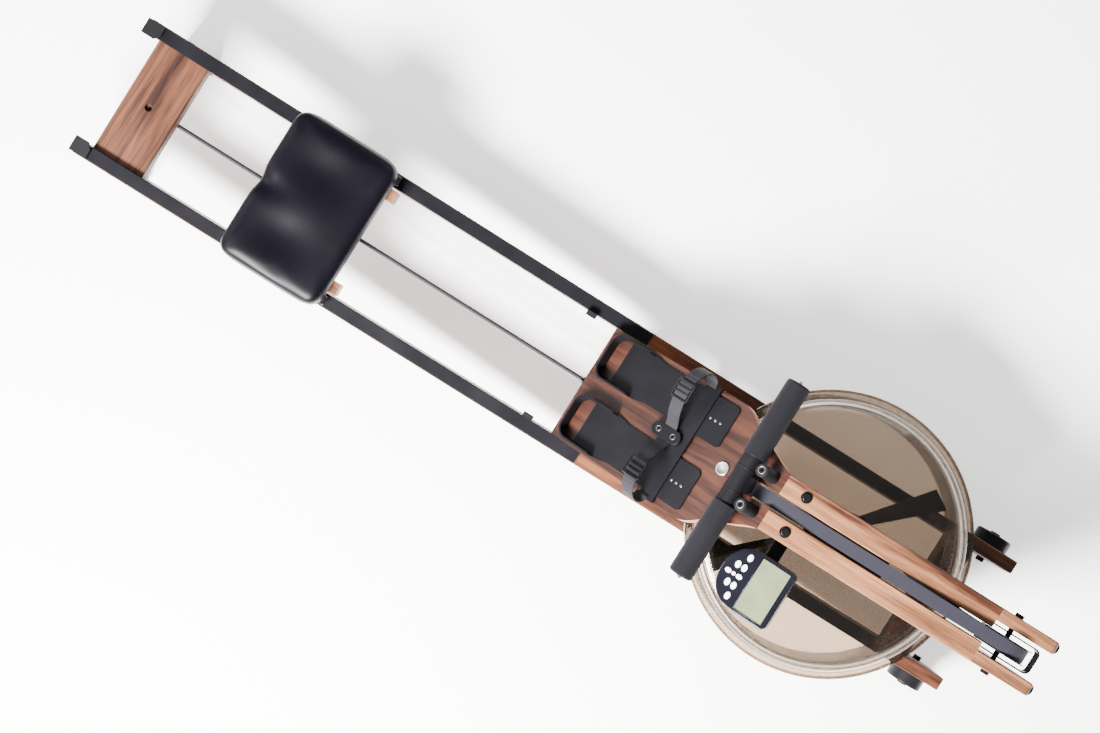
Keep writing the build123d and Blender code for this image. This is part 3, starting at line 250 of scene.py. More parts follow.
def walnut(name, light, dark, turn, pale_edge=None, seed=0.0):
    """Oiled walnut: long wandering streaks, fine dark pores and a slow drift of colour."""
    f = Finish(name).set(Roughness=0.45, Specular_IOR_Level=0.22)
    wander = f.add("TexNoise", {
        "Vector": f.mapped(turn, (1.1, 9, 9)), "Scale": 1.0, "Detail": 3.0, "W": seed},
        noise_dimensions="4D")
    bend = f.add("VectorMath", {0: f.mapped(turn, (1.3, 22, 22)), 1: wander.outputs["Color"]})
    streaks = f.add("TexNoise", {
        "Vector": bend.outputs[0], "Scale": 2.2, "Detail": 9.0, "Roughness": 0.62,
        "Distortion": 0.5, "W": seed}, noise_dimensions="4D")
    rings = f.add("TexWave", {
        "Vector": bend.outputs[0], "Scale": 1.6, "Distortion": 5.0, "Detail": 3.0,
        "Detail Scale": 1.2}, bands_direction="Z")
    middle = tuple((a * 0.55 + b * 0.45) for a, b in zip(light, dark))
    tone = f.ramp(streaks.outputs["Fac"], (0.36, dark), (0.50, middle), (0.62, light))
    ring_tone = f.ramp(rings.outputs["Fac"], (0.0, (0.62, 0.56, 0.52)), (0.6, (1, 1, 1)))
    tone = f.mix(0.55, tone, ring_tone, "MULTIPLY")
    pores = f.add("TexNoise", {
        "Vector": f.mapped(turn, (14, 620, 620)), "Scale": 1.0, "Detail": 2.0})
    pore_tone = f.ramp(pores.outputs["Fac"], (0.36, (0.45, 0.38, 0.34)), (0.47, (1, 1, 1)))
    tone = f.mix(0.7, tone, pore_tone, "MULTIPLY")
    drift = f.add("TexNoise", {"Vector": f.mapped(turn, (1.6, 3, 3)), "Scale": 1.0, "Detail": 2.0})
    drift_tone = f.ramp(drift.outputs["Fac"], (0.35, (0.78, 0.74, 0.72)), (0.65, (1.12, 1.08, 1.0)))
    tone = f.mix(0.8, tone, drift_tone, "MULTIPLY")
    if pale_edge:
        face = f.add("VectorMath", {0: f.place.outputs["Normal"], 1: pale_edge[0]},
                     operation="DOT_PRODUCT")
        side_share = f.grey_ramp(face.outputs["Value"], 1.0, 0.0, 0.55, 0.9)
        tone = f.mix(side_share, tone, pale_edge[1])
    f.colour(tone)
    f.rough(f.grey_ramp(streaks.outputs["Fac"], 0.38, 0.52))
    f.bump(pores.outputs["Fac"], 0.12, 0.0003)
    return f


def moulded(name, tone, roughness, grain=900.0, strength=0.1):
    """Moulded plastic or rubber: an even tone with a fine pebble grain and faint scuffs."""
    f = Finish(name).set(Specular_IOR_Level=0.10)
    pebble = f.add("TexNoise", {"Vector": f.mapped(), "Scale": grain, "Detail": 2.0})
    cloud = f.add("TexNoise", {"Vector": f.mapped(), "Scale": 14.0, "Detail": 5.0})
    lighter = tuple(c * 1.4 + 0.0008 for c in tone)
    f.colour(f.ramp(cloud.outputs["Fac"], (0.3, tone), (0.75, lighter)))
    f.rough(f.grey_ramp(cloud.outputs["Fac"], roughness - 0.06, roughness + 0.08))
    f.bump(pebble.outputs["Fac"], strength, 0.0002)
    return f


def machined(name, tone, roughness):
    """Bright or dark metal with fine turning marks."""
    f = Finish(name).set(Metallic=1.0)
    marks = f.add("TexNoise", {
        "Vector": f.mapped(scale=(60, 900, 900)), "Scale": 1.0, "Detail": 3.0})
    f.colour(f.ramp(marks.outputs["Fac"], (0.3, tuple(c * 0.8 for c in tone)), (0.7, tone)))
    f.rough(f.grey_ramp(marks.outputs["Fac"], roughness - 0.06, roughness + 0.1))
    f.bump(marks.outputs["Fac"], 0.05, 0.0001)
    return f


def wood_tones(part):
    """The light and the dark grain of the rail, the board or the arm, as the settings give them."""
    wood = bpy.context.scene.rower_wood
    return tuple(getattr(wood, part + "_light")), tuple(getattr(wood, part + "_dark"))


@finish("rail walnut")
def rail_walnut():
    """The rails' walnut, painted paler from the footboard back and left darker under the board and the
    tank, as painted shade.
    """
    f = walnut("rail walnut", *wood_tones("rail"), along(-LEAN), seed=1.3)
    tone = f.shader.inputs["Base Color"].links[0].from_socket
    ahead = f.add("SeparateXYZ", {"Vector": f.place.outputs["Object"]}).outputs["X"]
    # Painted light and shade: the rails are paler behind X 0.16 and darker from X 0.34 forward, under
    # the board and the tank.
    painted_lit_rear = f.grey_ramp(ahead, 0.75, 0.0, 0.16, 0.34)
    return f.colour(f.mix(painted_lit_rear, tone, f.mix(1.0, tone, (2.6, 2.5, 2.0), "MULTIPLY")))


@finish("cross walnut")
def cross_walnut():
    return walnut("cross walnut", *wood_tones("rail"), (0, 0, math.pi / 2), seed=4.1)


@finish("upright walnut")
def upright_walnut():
    return walnut("upright walnut", *wood_tones("rail"), along(math.pi / 2), seed=7.7)


@finish("board walnut")
def shaded_board_walnut():
    """The board's walnut: its face darkened as painted shade, its edges left in a paler tone."""
    up = BOARD.to_3x3() @ Vector((0, 0, 1))
    return walnut(
        "board walnut", *wood_tones("board"), along(BOARD_SLOPE - LEAN),
        pale_edge=(up, (0.26, 0.125, 0.07)), seed=2.6)


@finish("arm walnut")
def arm_walnut():
    return walnut("arm walnut", *wood_tones("arm"), along(-LEAN), seed=5.2)


@finish("leg walnut")
def leg_walnut():
    return walnut("leg walnut", *wood_tones("arm"), along(-LEAN), seed=8.4)


@finish("carriage walnut")
def carriage_walnut():
    return walnut("carriage walnut", *wood_tones("arm"), along(-LEAN), seed=9.9)


@finish("satin black plastic")
def black_plastic():
    return moulded("satin black plastic", (0.0022, 0.0021, 0.0031), 0.46)


@finish("running track")
def running_track():
    f = moulded("running track", (0.0032, 0.0030, 0.0044), 0.40, 500.0, 0.05)
    wear = f.add("TexNoise", {
        "Vector": f.mapped(scale=(3, 260, 260)), "Scale": 1.0, "Detail": 4.0})
    return f.bump(wear.outputs["Fac"], 0.05, 0.0002)


@finish("black rubber")
def black_rubber():
    return moulded("black rubber", (0.0032, 0.0031, 0.0038), 0.62, 700.0, 0.2)


@finish("grip foam")
def grip_foam():
    f = moulded("grip foam", (0.0030, 0.0028, 0.0042), 0.85, 1400.0, 0.55)
    return f.set(Sheen_Weight=0.02, Sheen_Roughness=0.5)


@finish("roller plastic")
def roller_plastic():
    return moulded("roller plastic", (0.005, 0.005, 0.006), 0.34)


@finish("monitor case")
def monitor_case():
    f = moulded("monitor case", (0.0026, 0.0026, 0.0050), 0.2, 300.0, 0.02)
    return f.set(Coat_Weight=0.25, Coat_Roughness=0.06)


@finish("display")
def display():
    f = Finish("display").set(Roughness=0.3, Specular_IOR_Level=0.3)
    cloud = f.add("TexNoise", {"Vector": f.mapped(), "Scale": 22.0, "Detail": 2.0})
    segments = f.add("TexWave", {"Vector": f.mapped(), "Scale": 160.0}, bands_direction="Y")
    tone = f.ramp(cloud.outputs["Fac"], (0.3, (0.092, 0.106, 0.058)), (0.7, (0.118, 0.133, 0.075)))
    f.bump(segments.outputs["Fac"], 0.01, 0.0001)
    return f.colour(tone)


@finish("white key")
def white_key():
    f = moulded("white key", (0.72, 0.72, 0.70), 0.22, 400.0, 0.02)
    return f.set(Coat_Weight=0.4, Coat_Roughness=0.08)


@finish("seat vinyl")
def seat_vinyl():
    f = Finish("seat vinyl").set(Specular_IOR_Level=0.11)
    grain = f.add("TexVoronoi", {"Vector": f.mapped(), "Scale": 620.0}, feature="DISTANCE_TO_EDGE")
    cloud = f.add("TexNoise", {"Vector": f.mapped(), "Scale": 9.0, "Detail": 4.0})
    f.colour(f.ramp(
        cloud.outputs["Fac"], (0.3, (0.0006, 0.0004, 0.0016)), (0.7, (0.0010, 0.0007, 0.0024))))
    f.rough(f.grey_ramp(cloud.outputs["Fac"], 0.34, 0.42))
    return f.bump(grain.outputs["Distance"], 0.22, 0.0003)


def weave_of(f, strands):
    """Ribs along the strap crossed by the weft, on the strap's own UV map."""
    warp = f.add(
        "TexWave", {"Vector": strands, "Scale": 110.0, "Distortion": 0.4}, bands_direction="Y")
    weft = f.add(
        "TexWave", {"Vector": strands, "Scale": 190.0, "Distortion": 0.6}, bands_direction="X")
    return f.mix(0.5, warp.outputs["Color"], weft.outputs["Color"], "MULTIPLY")


@finish("webbing")
def webbing():
    """The pull strap's woven polyester, a little uneven in tone."""
    f = Finish("webbing").set(Roughness=0.7, Specular_IOR_Level=0.2, Sheen_Weight=0.04)
    strands = f.place.outputs["UV"]
    weave = weave_of(f, strands)
    cloud = f.add("TexNoise", {"Vector": strands, "Scale": 40.0, "Detail": 3.0})
    tone = f.ramp(weave, (0.0, (0.0045, 0.0044, 0.0075)), (0.8, (0.018, 0.0165, 0.027)))
    soft = f.ramp(cloud.outputs["Fac"], (0.3, (0.85, 0.85, 0.85)), (0.7, (1.1, 1.1, 1.1)))
    f.colour(f.mix(0.7, tone, soft, "MULTIPLY"))
    return f.bump(weave, 0.5, 0.0004)


@finish("black webbing")
def black_webbing():
    """The foot straps' webbing: the same weave, dyed black."""
    f = Finish("black webbing").set(Roughness=0.7, Specular_IOR_Level=0.2)
    weave = weave_of(f, f.place.outputs["UV"])
    f.colour(f.ramp(weave, (0.0, (0.0022, 0.0022, 0.0032)), (0.8, (0.0085, 0.0082, 0.0115))))
    return f.bump(weave, 0.5, 0.0004)


@finish("stitching")
def stitching():
    f = Finish("stitching").set(Roughness=0.6, Specular_IOR_Level=0.2)
    ply = f.add("TexWave", {"Vector": f.mapped(), "Scale": 900.0}, bands_direction="DIAGONAL")
    f.colour(f.ramp(ply.outputs["Fac"], (0.0, (0.02, 0.02, 0.026)), (1.0, (0.05, 0.05, 0.06))))
    return f.bump(ply.outputs["Fac"], 0.3, 0.0002)


@finish("cord cover")
def cord_cover():
    f = Finish("cord cover").set(Roughness=0.6, Specular_IOR_Level=0.2)
    one = f.add("TexWave", {"Vector": f.mapped(), "Scale": 300.0}, bands_direction="DIAGONAL")
    other = f.add("TexWave", {"Vector": f.mapped(scale=(-1, 1, 1)), "Scale": 300.0},
                  bands_direction="DIAGONAL")
    braid = f.mix(0.5, one.outputs["Color"], other.outputs["Color"], "LIGHTEN")
    f.colour(f.ramp(braid, (0.2, (0.003, 0.003, 0.004)), (0.9, (0.012, 0.012, 0.015))))
    return f.bump(braid, 0.4, 0.0004)


@finish("clear tank")
def clear_tank():
    """Smoke-tinted polycarbonate: each face tints what lies behind it and shines where it turns away."""
    tank = bpy.context.scene.rower_tank
    f = Finish("clear tank").set(Roughness=0.05, Specular_IOR_Level=0.6, IOR=1.5)
    cloud = f.add("TexNoise", {"Vector": f.mapped(), "Scale": 4.0, "Detail": 2.0})
    tint = tuple(tank.tint)
    f.colour(f.ramp(cloud.outputs["Fac"], (0.3, (0.15, 0.13, 0.11)), (0.7, (0.18, 0.155, 0.13))))
    clear = f.add("BsdfTransparent", {"Color": (*tint, 1.0)})
    body = f.add("MixShader", {0: tank.haze, 1: clear.outputs[0], 2: f.shader.outputs[0]})
    shine = f.add("Fresnel", {"IOR": 1.5}).outputs[0]
    gloss = f.add("BsdfGlossy", {"Roughness": 0.07})
    share = f.grey_ramp(shine, 0.0, 0.8)
    blend = f.add("MixShader", {0: share, 1: body.outputs[0], 2: gloss.outputs[0]})
    f.links.new(blend.outputs[0], f.nodes["Material Output"].inputs["Surface"])
    return f


@finish("bright steel")
def bright_steel():
    return machined("bright steel", (0.62, 0.62, 0.64), 0.28)


@finish("dull steel")
def dull_steel():
    return machined("dull steel", (0.16, 0.16, 0.17), 0.42)


@finish("black steel")
def black_steel():
    return moulded("black steel", (0.0030, 0.0030, 0.0036), 0.24, 300.0, 0.04)


NODE_FINISHES = (
    (rail_walnut, "rail_left", "rail_right"),
    (cross_walnut, "rear_spreader", "front_crossbar"),
    (upright_walnut, "rear_legs", "footboard_frame"),
    (shaded_board_walnut, "footboard"),
    (arm_walnut, "arm_left", "arm_right"),
    (leg_walnut, "front_leg_left", "front_leg_right"),
    (carriage_walnut, "seat_carriage"),
    (running_track, "track_left", "track_right"),
    (black_plastic, "heel_rest_left", "heel_rest_right", "foot_bar", "strap_fittings",
     "handle_clamp", "strap_drum", "front_pulley", "rear_pulley", "guide_pulley_low",
     "guide_pulley_high", "paddle", "monitor_arm"),
    (black_rubber, "track_stops", "rubber_feet", "tank_supports", "handle_pegs"),
    (grip_foam, "handle_grips"),
    (bright_steel, "handle_bar", "pulley_yokes"),
    (black_steel, "frame_bolts", "bearing_bridge", "pulley_bracket", "peg_screws"),
    (clear_tank, "tank_bowl", "tank_cover"),
    (webbing, "strap_roll"),
    (cord_cover, "recoil_cord"),
    (monitor_case, "monitor_case"),
    (display, "monitor_screen"),
    (roller_plastic, "wheelset_front", "wheelset_rear", "transport_wheel_left",
     "transport_wheel_right"),
    (white_key, *[f"button_{number}" for number in range(1, 10)]),
)


# ---- mesh helpers ----------------------------------------------------------------------
def new_piece(name, mesh_source, material, body, smooth=True, place=None):
    """Turns a bmesh into an object, set in its place, that rides on a body if one is named."""
    if place is not None:
        bmesh.ops.transform(mesh_source, matrix=place, verts=mesh_source.verts)
    mesh = bpy.data.meshes.new(name)
    mesh_source.to_mesh(mesh)
    mesh_source.free()
    piece = bpy.data.objects.new(name, mesh)
    bpy.context.scene.collection.objects.link(piece)
    piece.data.materials.append(material)
    for face in mesh.polygons:
        face.use_smooth = smooth
    if body:
        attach(piece, body)
    return piece


def at(frame_matrix, x, y, z):
    """The place of a point that is given in the machine's, the board's or the monitor's frame."""
    return frame_matrix @ Matrix.Translation((x, y, z))


def soften(piece, width, segments=2):
    """Rounds a piece's sharp edges with a bevel that keeps its flats flat."""
    bevel = piece.modifiers.new("rounded edges", "BEVEL")
    bevel.width = width
    bevel.segments = segments
    bevel.limit_method = "ANGLE"
    bevel.harden_normals = True


def apply_modifiers(piece):
    """Replaces the piece's mesh by what its modifiers make, and clears them."""
    depsgraph = bpy.context.evaluated_depsgraph_get()
    depsgraph.update()
    mesh = bpy.data.meshes.new_from_object(piece.evaluated_get(depsgraph))
    piece.modifiers.clear()
    old = piece.data
    piece.data = mesh
    bpy.data.meshes.remove(old)


def turned(profile, segments=48):
    """Spins a profile of (radius, height) points about Z."""
    bm = bmesh.new()
    points = [bm.verts.new((radius, 0, height)) for radius, height in profile]
    lines = [bm.edges.new(pair) for pair in zip(points, points[1:])]
    bmesh.ops.spin(
        bm, geom=points + lines, cent=(0, 0, 0), axis=(0, 0, 1), angle=2 * math.pi,
        steps=segments, use_merge=True)
    bmesh.ops.remove_doubles(bm, verts=bm.verts, dist=1e-6)
    bmesh.ops.recalc_face_normals(bm, faces=bm.faces)
    return bm


def ring(radius, height, fat, segments, points=12):
    """A round ring about Z: its radius to the middle of its section, and the section's radius."""
    steps = [2 * math.pi * step / points for step in range(points + 1)]
    return turned(
        [(radius + fat * math.cos(a), height + fat * math.sin(a)) for a in steps], segments)


def screw_head(radius, height, socket):
    """A domed head with a round socket."""
    rise = [math.radians(step * 75 / 7) for step in range(8)]
    dome = [(radius * math.cos(a), height * math.sin(a)) for a in rise]
    bm = turned([(radius, -0.0008), *dome, (socket, height * 0.99)], 30)
    top = [v for v in bm.verts if abs(math.hypot(v.co.x, v.co.y) - socket) < 1e-6 and v.co.z > 0]
    rim = [e for e in bm.edges if e.is_boundary and e.verts[0] in top]
    well = bmesh.ops.extrude_edge_only(bm, edges=rim)["geom"]
    for v in well:
        if isinstance(v, bmesh.types.BMVert):
            v.co.z -= height * 1.2
    bmesh.ops.holes_fill(bm, edges=[e for e in bm.edges if e.is_boundary])
    bmesh.ops.recalc_face_normals(bm, faces=bm.faces)
    return bm


def closed_tube(corners, radius, sides=8):
    """A round bar that runs from corner to corner and closes on itself."""
    bm = bmesh.new()
    rings = []
    for index, point in enumerate(corners):
        heading = (corners[(index + 1) % len(corners)] - corners[index - 1]).normalized()
        place = heading.to_track_quat("Z", "Y").to_matrix().to_4x4()
        place.translation = point
        made = bmesh.ops.create_circle(bm, segments=sides, radius=radius, matrix=place)
        rings.append(made["verts"])
    for one, two in zip(rings, [*rings[1:], rings[0]]):
        edges = [e for e in bm.edges if all(v in one for v in e.verts)
                 or all(v in two for v in e.verts)]
        bmesh.ops.bridge_loops(bm, edges=edges)
    bmesh.ops.recalc_face_normals(bm, faces=bm.faces)
    return bm


def ribbon(line, across, width, thickness):
    """A strap along a line of points. Its UV map runs in metres along and across the strap."""
    bm = bmesh.new()
    uv_layer = bm.loops.layers.uv.new("UVMap")
    start = [bm.verts.new(line[0] + across(0) * width * side / 2) for side in (-1, 1)]
    edge = bm.edges.new(start)
    travel, reach = 0.0, {v: 0.0 for v in start}
    lane = {start[0]: -width / 2, start[1]: width / 2}
    for index in range(1, len(line)):
        grown = bmesh.ops.extrude_edge_only(bm, edges=[edge])["geom"]
        edge = next(e for e in grown if isinstance(e, bmesh.types.BMEdge)
                    and not any(v in reach for v in e.verts))
        travel += (line[index] - line[index - 1]).length
        for v in edge.verts:
            known = (e.other_vert(v) for e in v.link_edges if e is not edge)
            other = next(o for o in known if o in reach)
            lane[v], reach[v] = lane[other], travel
            v.co = line[index] + across(index) * lane[v]
    for face in bm.faces:
        for loop in face.loops:
            loop[uv_layer].uv = (reach[loop.vert], lane[loop.vert])
    bmesh.ops.solidify(bm, geom=bm.faces[:], thickness=thickness)
    bmesh.ops.recalc_face_normals(bm, faces=bm.faces)
    return bm


def curve_points(controls, count, fineness=24):
    """Evenly spaced points on a smooth curve through the control points."""
    knots = [Vector(c) for c in controls]
    padded = [knots[0] * 2 - knots[1], *knots, knots[-1] * 2 - knots[-2]]
    fine = []
    for index in range(1, len(padded) - 2):
        a, b, c, d = padded[index - 1: index + 3]
        for step in range(fineness):
            t = step / fineness
            fine.append(0.5 * (
                2 * b + (c - a) * t + (2 * a - 5 * b + 4 * c - d) * t ** 2
                + (3 * b - a - 3 * c + d) * t ** 3))
    fine.append(knots[-1])
    lengths = [0.0]
    for before, after in zip(fine, fine[1:]):
        lengths.append(lengths[-1] + (after - before).length)
    points, spot = [], 0
    for step in range(count):
        goal = lengths[-1] * step / (count - 1)
        while spot < len(lengths) - 2 and lengths[spot + 1] < goal:
            spot += 1
        share = (goal - lengths[spot]) / max(lengths[spot + 1] - lengths[spot], 1e-9)
        points.append(fine[spot].lerp(fine[spot + 1], min(share, 1)))
    return points


def bell(offset, spread):
    """A smooth hump: 1 at no offset, fading over the spread."""
    return math.exp(-(offset / spread) ** 2)


# ---- operators -------------------------------------------------------------------------
class ROWER_OT_finishes(bpy.types.Operator):
    """Gives every piece that comes from the frame its finish."""

    bl_idname = "rower.finishes"
    bl_label = "Frame finishes"

    def execute(self, context):
        for maker, *names in NODE_FINISHES:
            for name in names:
                mesh = NODES[name].data
                mesh.materials.clear()
                mesh.materials.append(maker())
        return {"FINISHED"}


class ROWER_OT_seat(bpy.types.Operator):
    """Makes the seat pad: vinyl swollen by its foam, sat into two cheeks with a tail notch."""

    bl_idname = "rower.seat"
    bl_label = "Seat pad"

    middle = Vector((-0.5705, 0, 0.2485))
    size = Vector((0.233, 0.330, 0.041))
    corner, top_edge, low_edge = 0.031, 0.014, 0.005
    voxel, frames, pressure = 0.0055, 20, 4.0
    held_band = 0.008
    even_steps = 14
    cheek_x, cheek_y, cheek_long, cheek_wide = -0.012, 0.072, 0.062, 0.048
    tail_x, tail_long, tail_wide, tail_tuck = -0.115, 0.055, 0.022, 0.006
    tuck_from = -0.08
    soft_from, soft_depth = 0.024, 0.018

    def start_shape(self):
        """A block with round corners and a softly rolled top edge."""
        bm = bmesh.new()
        bmesh.ops.create_cube(bm, size=1.0)
        bmesh.ops.scale(bm, vec=self.size, verts=bm.verts)
        posts = [e for e in bm.edges if abs(e.verts[0].co.z - e.verts[1].co.z) > 0.01]
        bmesh.ops.bevel(
            bm, geom=posts, offset=self.corner, affect="EDGES", segments=8, profile=0.5, material=-1)
        for sign, width in ((1, self.top_edge), (-1, self.low_edge)):
            lid = max(bm.faces, key=lambda face: sign * face.calc_center_median().z)
            bmesh.ops.bevel(
                bm, geom=lid.edges[:], offset=width, affect="EDGES", segments=5, profile=0.5,
                material=-1)
        bmesh.ops.translate(bm, vec=self.middle, verts=bm.verts)
        return bm

    def swell(self, piece, most):
        """Voxel remesh, then a short cloth run with air pressure, capped and evened out."""
        remesh = piece.modifiers.new("even grid", "REMESH")
        remesh.mode = "VOXEL"
        remesh.voxel_size = self.voxel
        apply_modifiers(piece)
        rest = [v.co.copy() for v in piece.data.vertices]
        held = piece.vertex_groups.new(name="base")
        low = min(v.co.z for v in piece.data.vertices) + self.held_band
        held.add([v.index for v in piece.data.vertices if v.co.z < low], 1.0, "REPLACE")
        cloth = piece.modifiers.new("cover", "CLOTH")
        cloth.settings.use_pressure = True
        cloth.settings.uniform_pressure_force = self.pressure
        cloth.settings.vertex_group_mass = held.name
        cloth.settings.effector_weights.gravity = 0.0
        scene = bpy.context.scene
        for number in range(1, self.frames + 1):
            scene.frame_set(number)
        apply_modifiers(piece)
        scene.frame_set(1)
        for vertex, before in zip(piece.data.vertices, rest):
            push = vertex.co - before
            if push.length > most:
                vertex.co = before + push.normalized() * most
        even = piece.modifiers.new("foam evens out", "SMOOTH")
        even.factor = 0.5
        even.iterations = self.even_steps
        apply_modifiers(piece)

    def sit(self, piece, cheek, notch):
        """Sinks two shallow cheeks and the tail notch into the top."""
        top = max(v.co.z for v in piece.data.vertices)
        for vertex in piece.data.vertices:
            x, y, _ = vertex.co - self.middle
            share = (vertex.co.z - (top - self.soft_from)) / self.soft_depth
            share = max(0.0, min(1.0, share))
            hollow = bell(x - self.cheek_x, self.cheek_long) * sum(
                bell(y - sign * self.cheek_y, self.cheek_wide) for _, sign in SIDES)
            tail = bell(x - self.tail_x, self.tail_long) * bell(y, self.tail_wide)
            vertex.co.z -= share * (cheek * hollow + notch * tail)
            if x < self.tuck_from:
                vertex.co.x += self.tail_tuck * bell(y, self.tail_wide)

    def execute(self, context):
        seat = context.scene.rower_seat
        piece = new_piece("seat_cushion", self.start_shape(), seat_vinyl(), "seat")
        self.swell(piece, seat.swell)
        self.sit(piece, seat.cheek, seat.notch)
        piece.data.transform(MACHINE)
        for face in piece.data.polygons:
            face.use_smooth = True
        smoother = piece.modifiers.new("finer cover", "SUBSURF")
        smoother.levels = smoother.render_levels = 1
        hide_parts("seat_pad")
        return {"FINISHED"}


class ROWER_OT_pull_strap(bpy.types.Operator):
    """Makes the webbing: the pull strap, its lap round the front pulley and the twisted return."""

    bl_idname = "rower.pull_strap"
    bl_label = "Pull strap"

    start, pulley, reach = Vector((0.411, 0, 0.475)), Vector((0.958, 0, 0.462)), 0.045
    drum, roll = Vector((DRUM_X, 0, 0.417)), 0.046
    twist_end = 0.890
    lap_steps, twist_steps = 24, 24
    laps, steps_per_lap, inner, outer, wound_thick = 6, 40, 0.0305, 0.0440, 0.0019
    sewn_in = Vector((0.004, 0, 0))

    def pulled(self, sizes, touch):
        """The straight run from the handle to the pulley."""
        line = [self.start.lerp(touch, step / sizes.steps) for step in range(sizes.steps + 1)]
        bm = ribbon(line, lambda index: Vector((0, 1, 0)), sizes.pull_width, sizes.thickness)
        bmesh.ops.translate(bm, vec=(0, 0, sizes.thickness / 2), verts=bm.verts)
        strap = new_piece("pull_webbing", bm, webbing(), None, False, MACHINE)
        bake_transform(strap)
        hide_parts("pull_strap")

    def returned(self, sizes, climb):
        """The lap round the pulley, then a quarter twist on the way back to the upright drum."""
        line, across_list = [], []
        for step in range(self.lap_steps + 1):
            angle = math.pi / 2 + climb - step / self.lap_steps * (math.pi + climb)
            line.append(self.pulley + self.reach * Vector((math.cos(angle), 0, math.sin(angle))))
            across_list.append(Vector((0, 1, 0)))
        leave = math.acos(self.roll / (self.twist_end - self.drum.x))
        low = self.pulley.z - self.reach
        first = Vector((
            self.drum.x + self.roll * math.cos(leave), self.roll * math.sin(leave), low))
        last = Vector((self.twist_end, 0, low))
        for step in range(1, self.twist_steps + 1):
            share = step / self.twist_steps
            turn = math.pi / 2 * share
            line.append(last.lerp(first, share))
            across_list.append(Vector((0, math.cos(turn), math.sin(turn))))
        bm = ribbon(line, lambda index: across_list[index], sizes.pull_width, sizes.thickness)
        back = new_piece("return_webbing", bm, webbing(), "frame", False, MACHINE)
        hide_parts("return_strap")

    def wound(self, sizes):
        """The laps of webbing wound on the drum, as one spiral strip."""
        spiral = []
        count = self.laps * self.steps_per_lap
        for step in range(count + 1):
            radius = self.inner + (self.outer - self.inner) * step / count
            angle = 2 * math.pi * step / self.steps_per_lap
            spiral.append(self.drum + radius * Vector((math.cos(angle), math.sin(angle), 0)))
        bm = ribbon(spiral, lambda index: Vector((0, 0, 1)), sizes.pull_width, self.wound_thick)
        roll = new_piece("wound_webbing", bm, webbing(), "drum", False, MACHINE)
        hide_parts("strap_roll")

    def execute(self, context):
        sizes = context.scene.rower_webbing
        gap = self.pulley - self.start
        climb = math.atan2(gap.z, gap.x) + math.asin(self.reach / gap.length)
        touch = self.pulley + self.reach * Vector((-math.sin(climb), 0, math.cos(climb)))
        self.pulled(sizes, touch)
        self.returned(sizes, climb)
        self.wound(sizes)
        return {"FINISHED"}


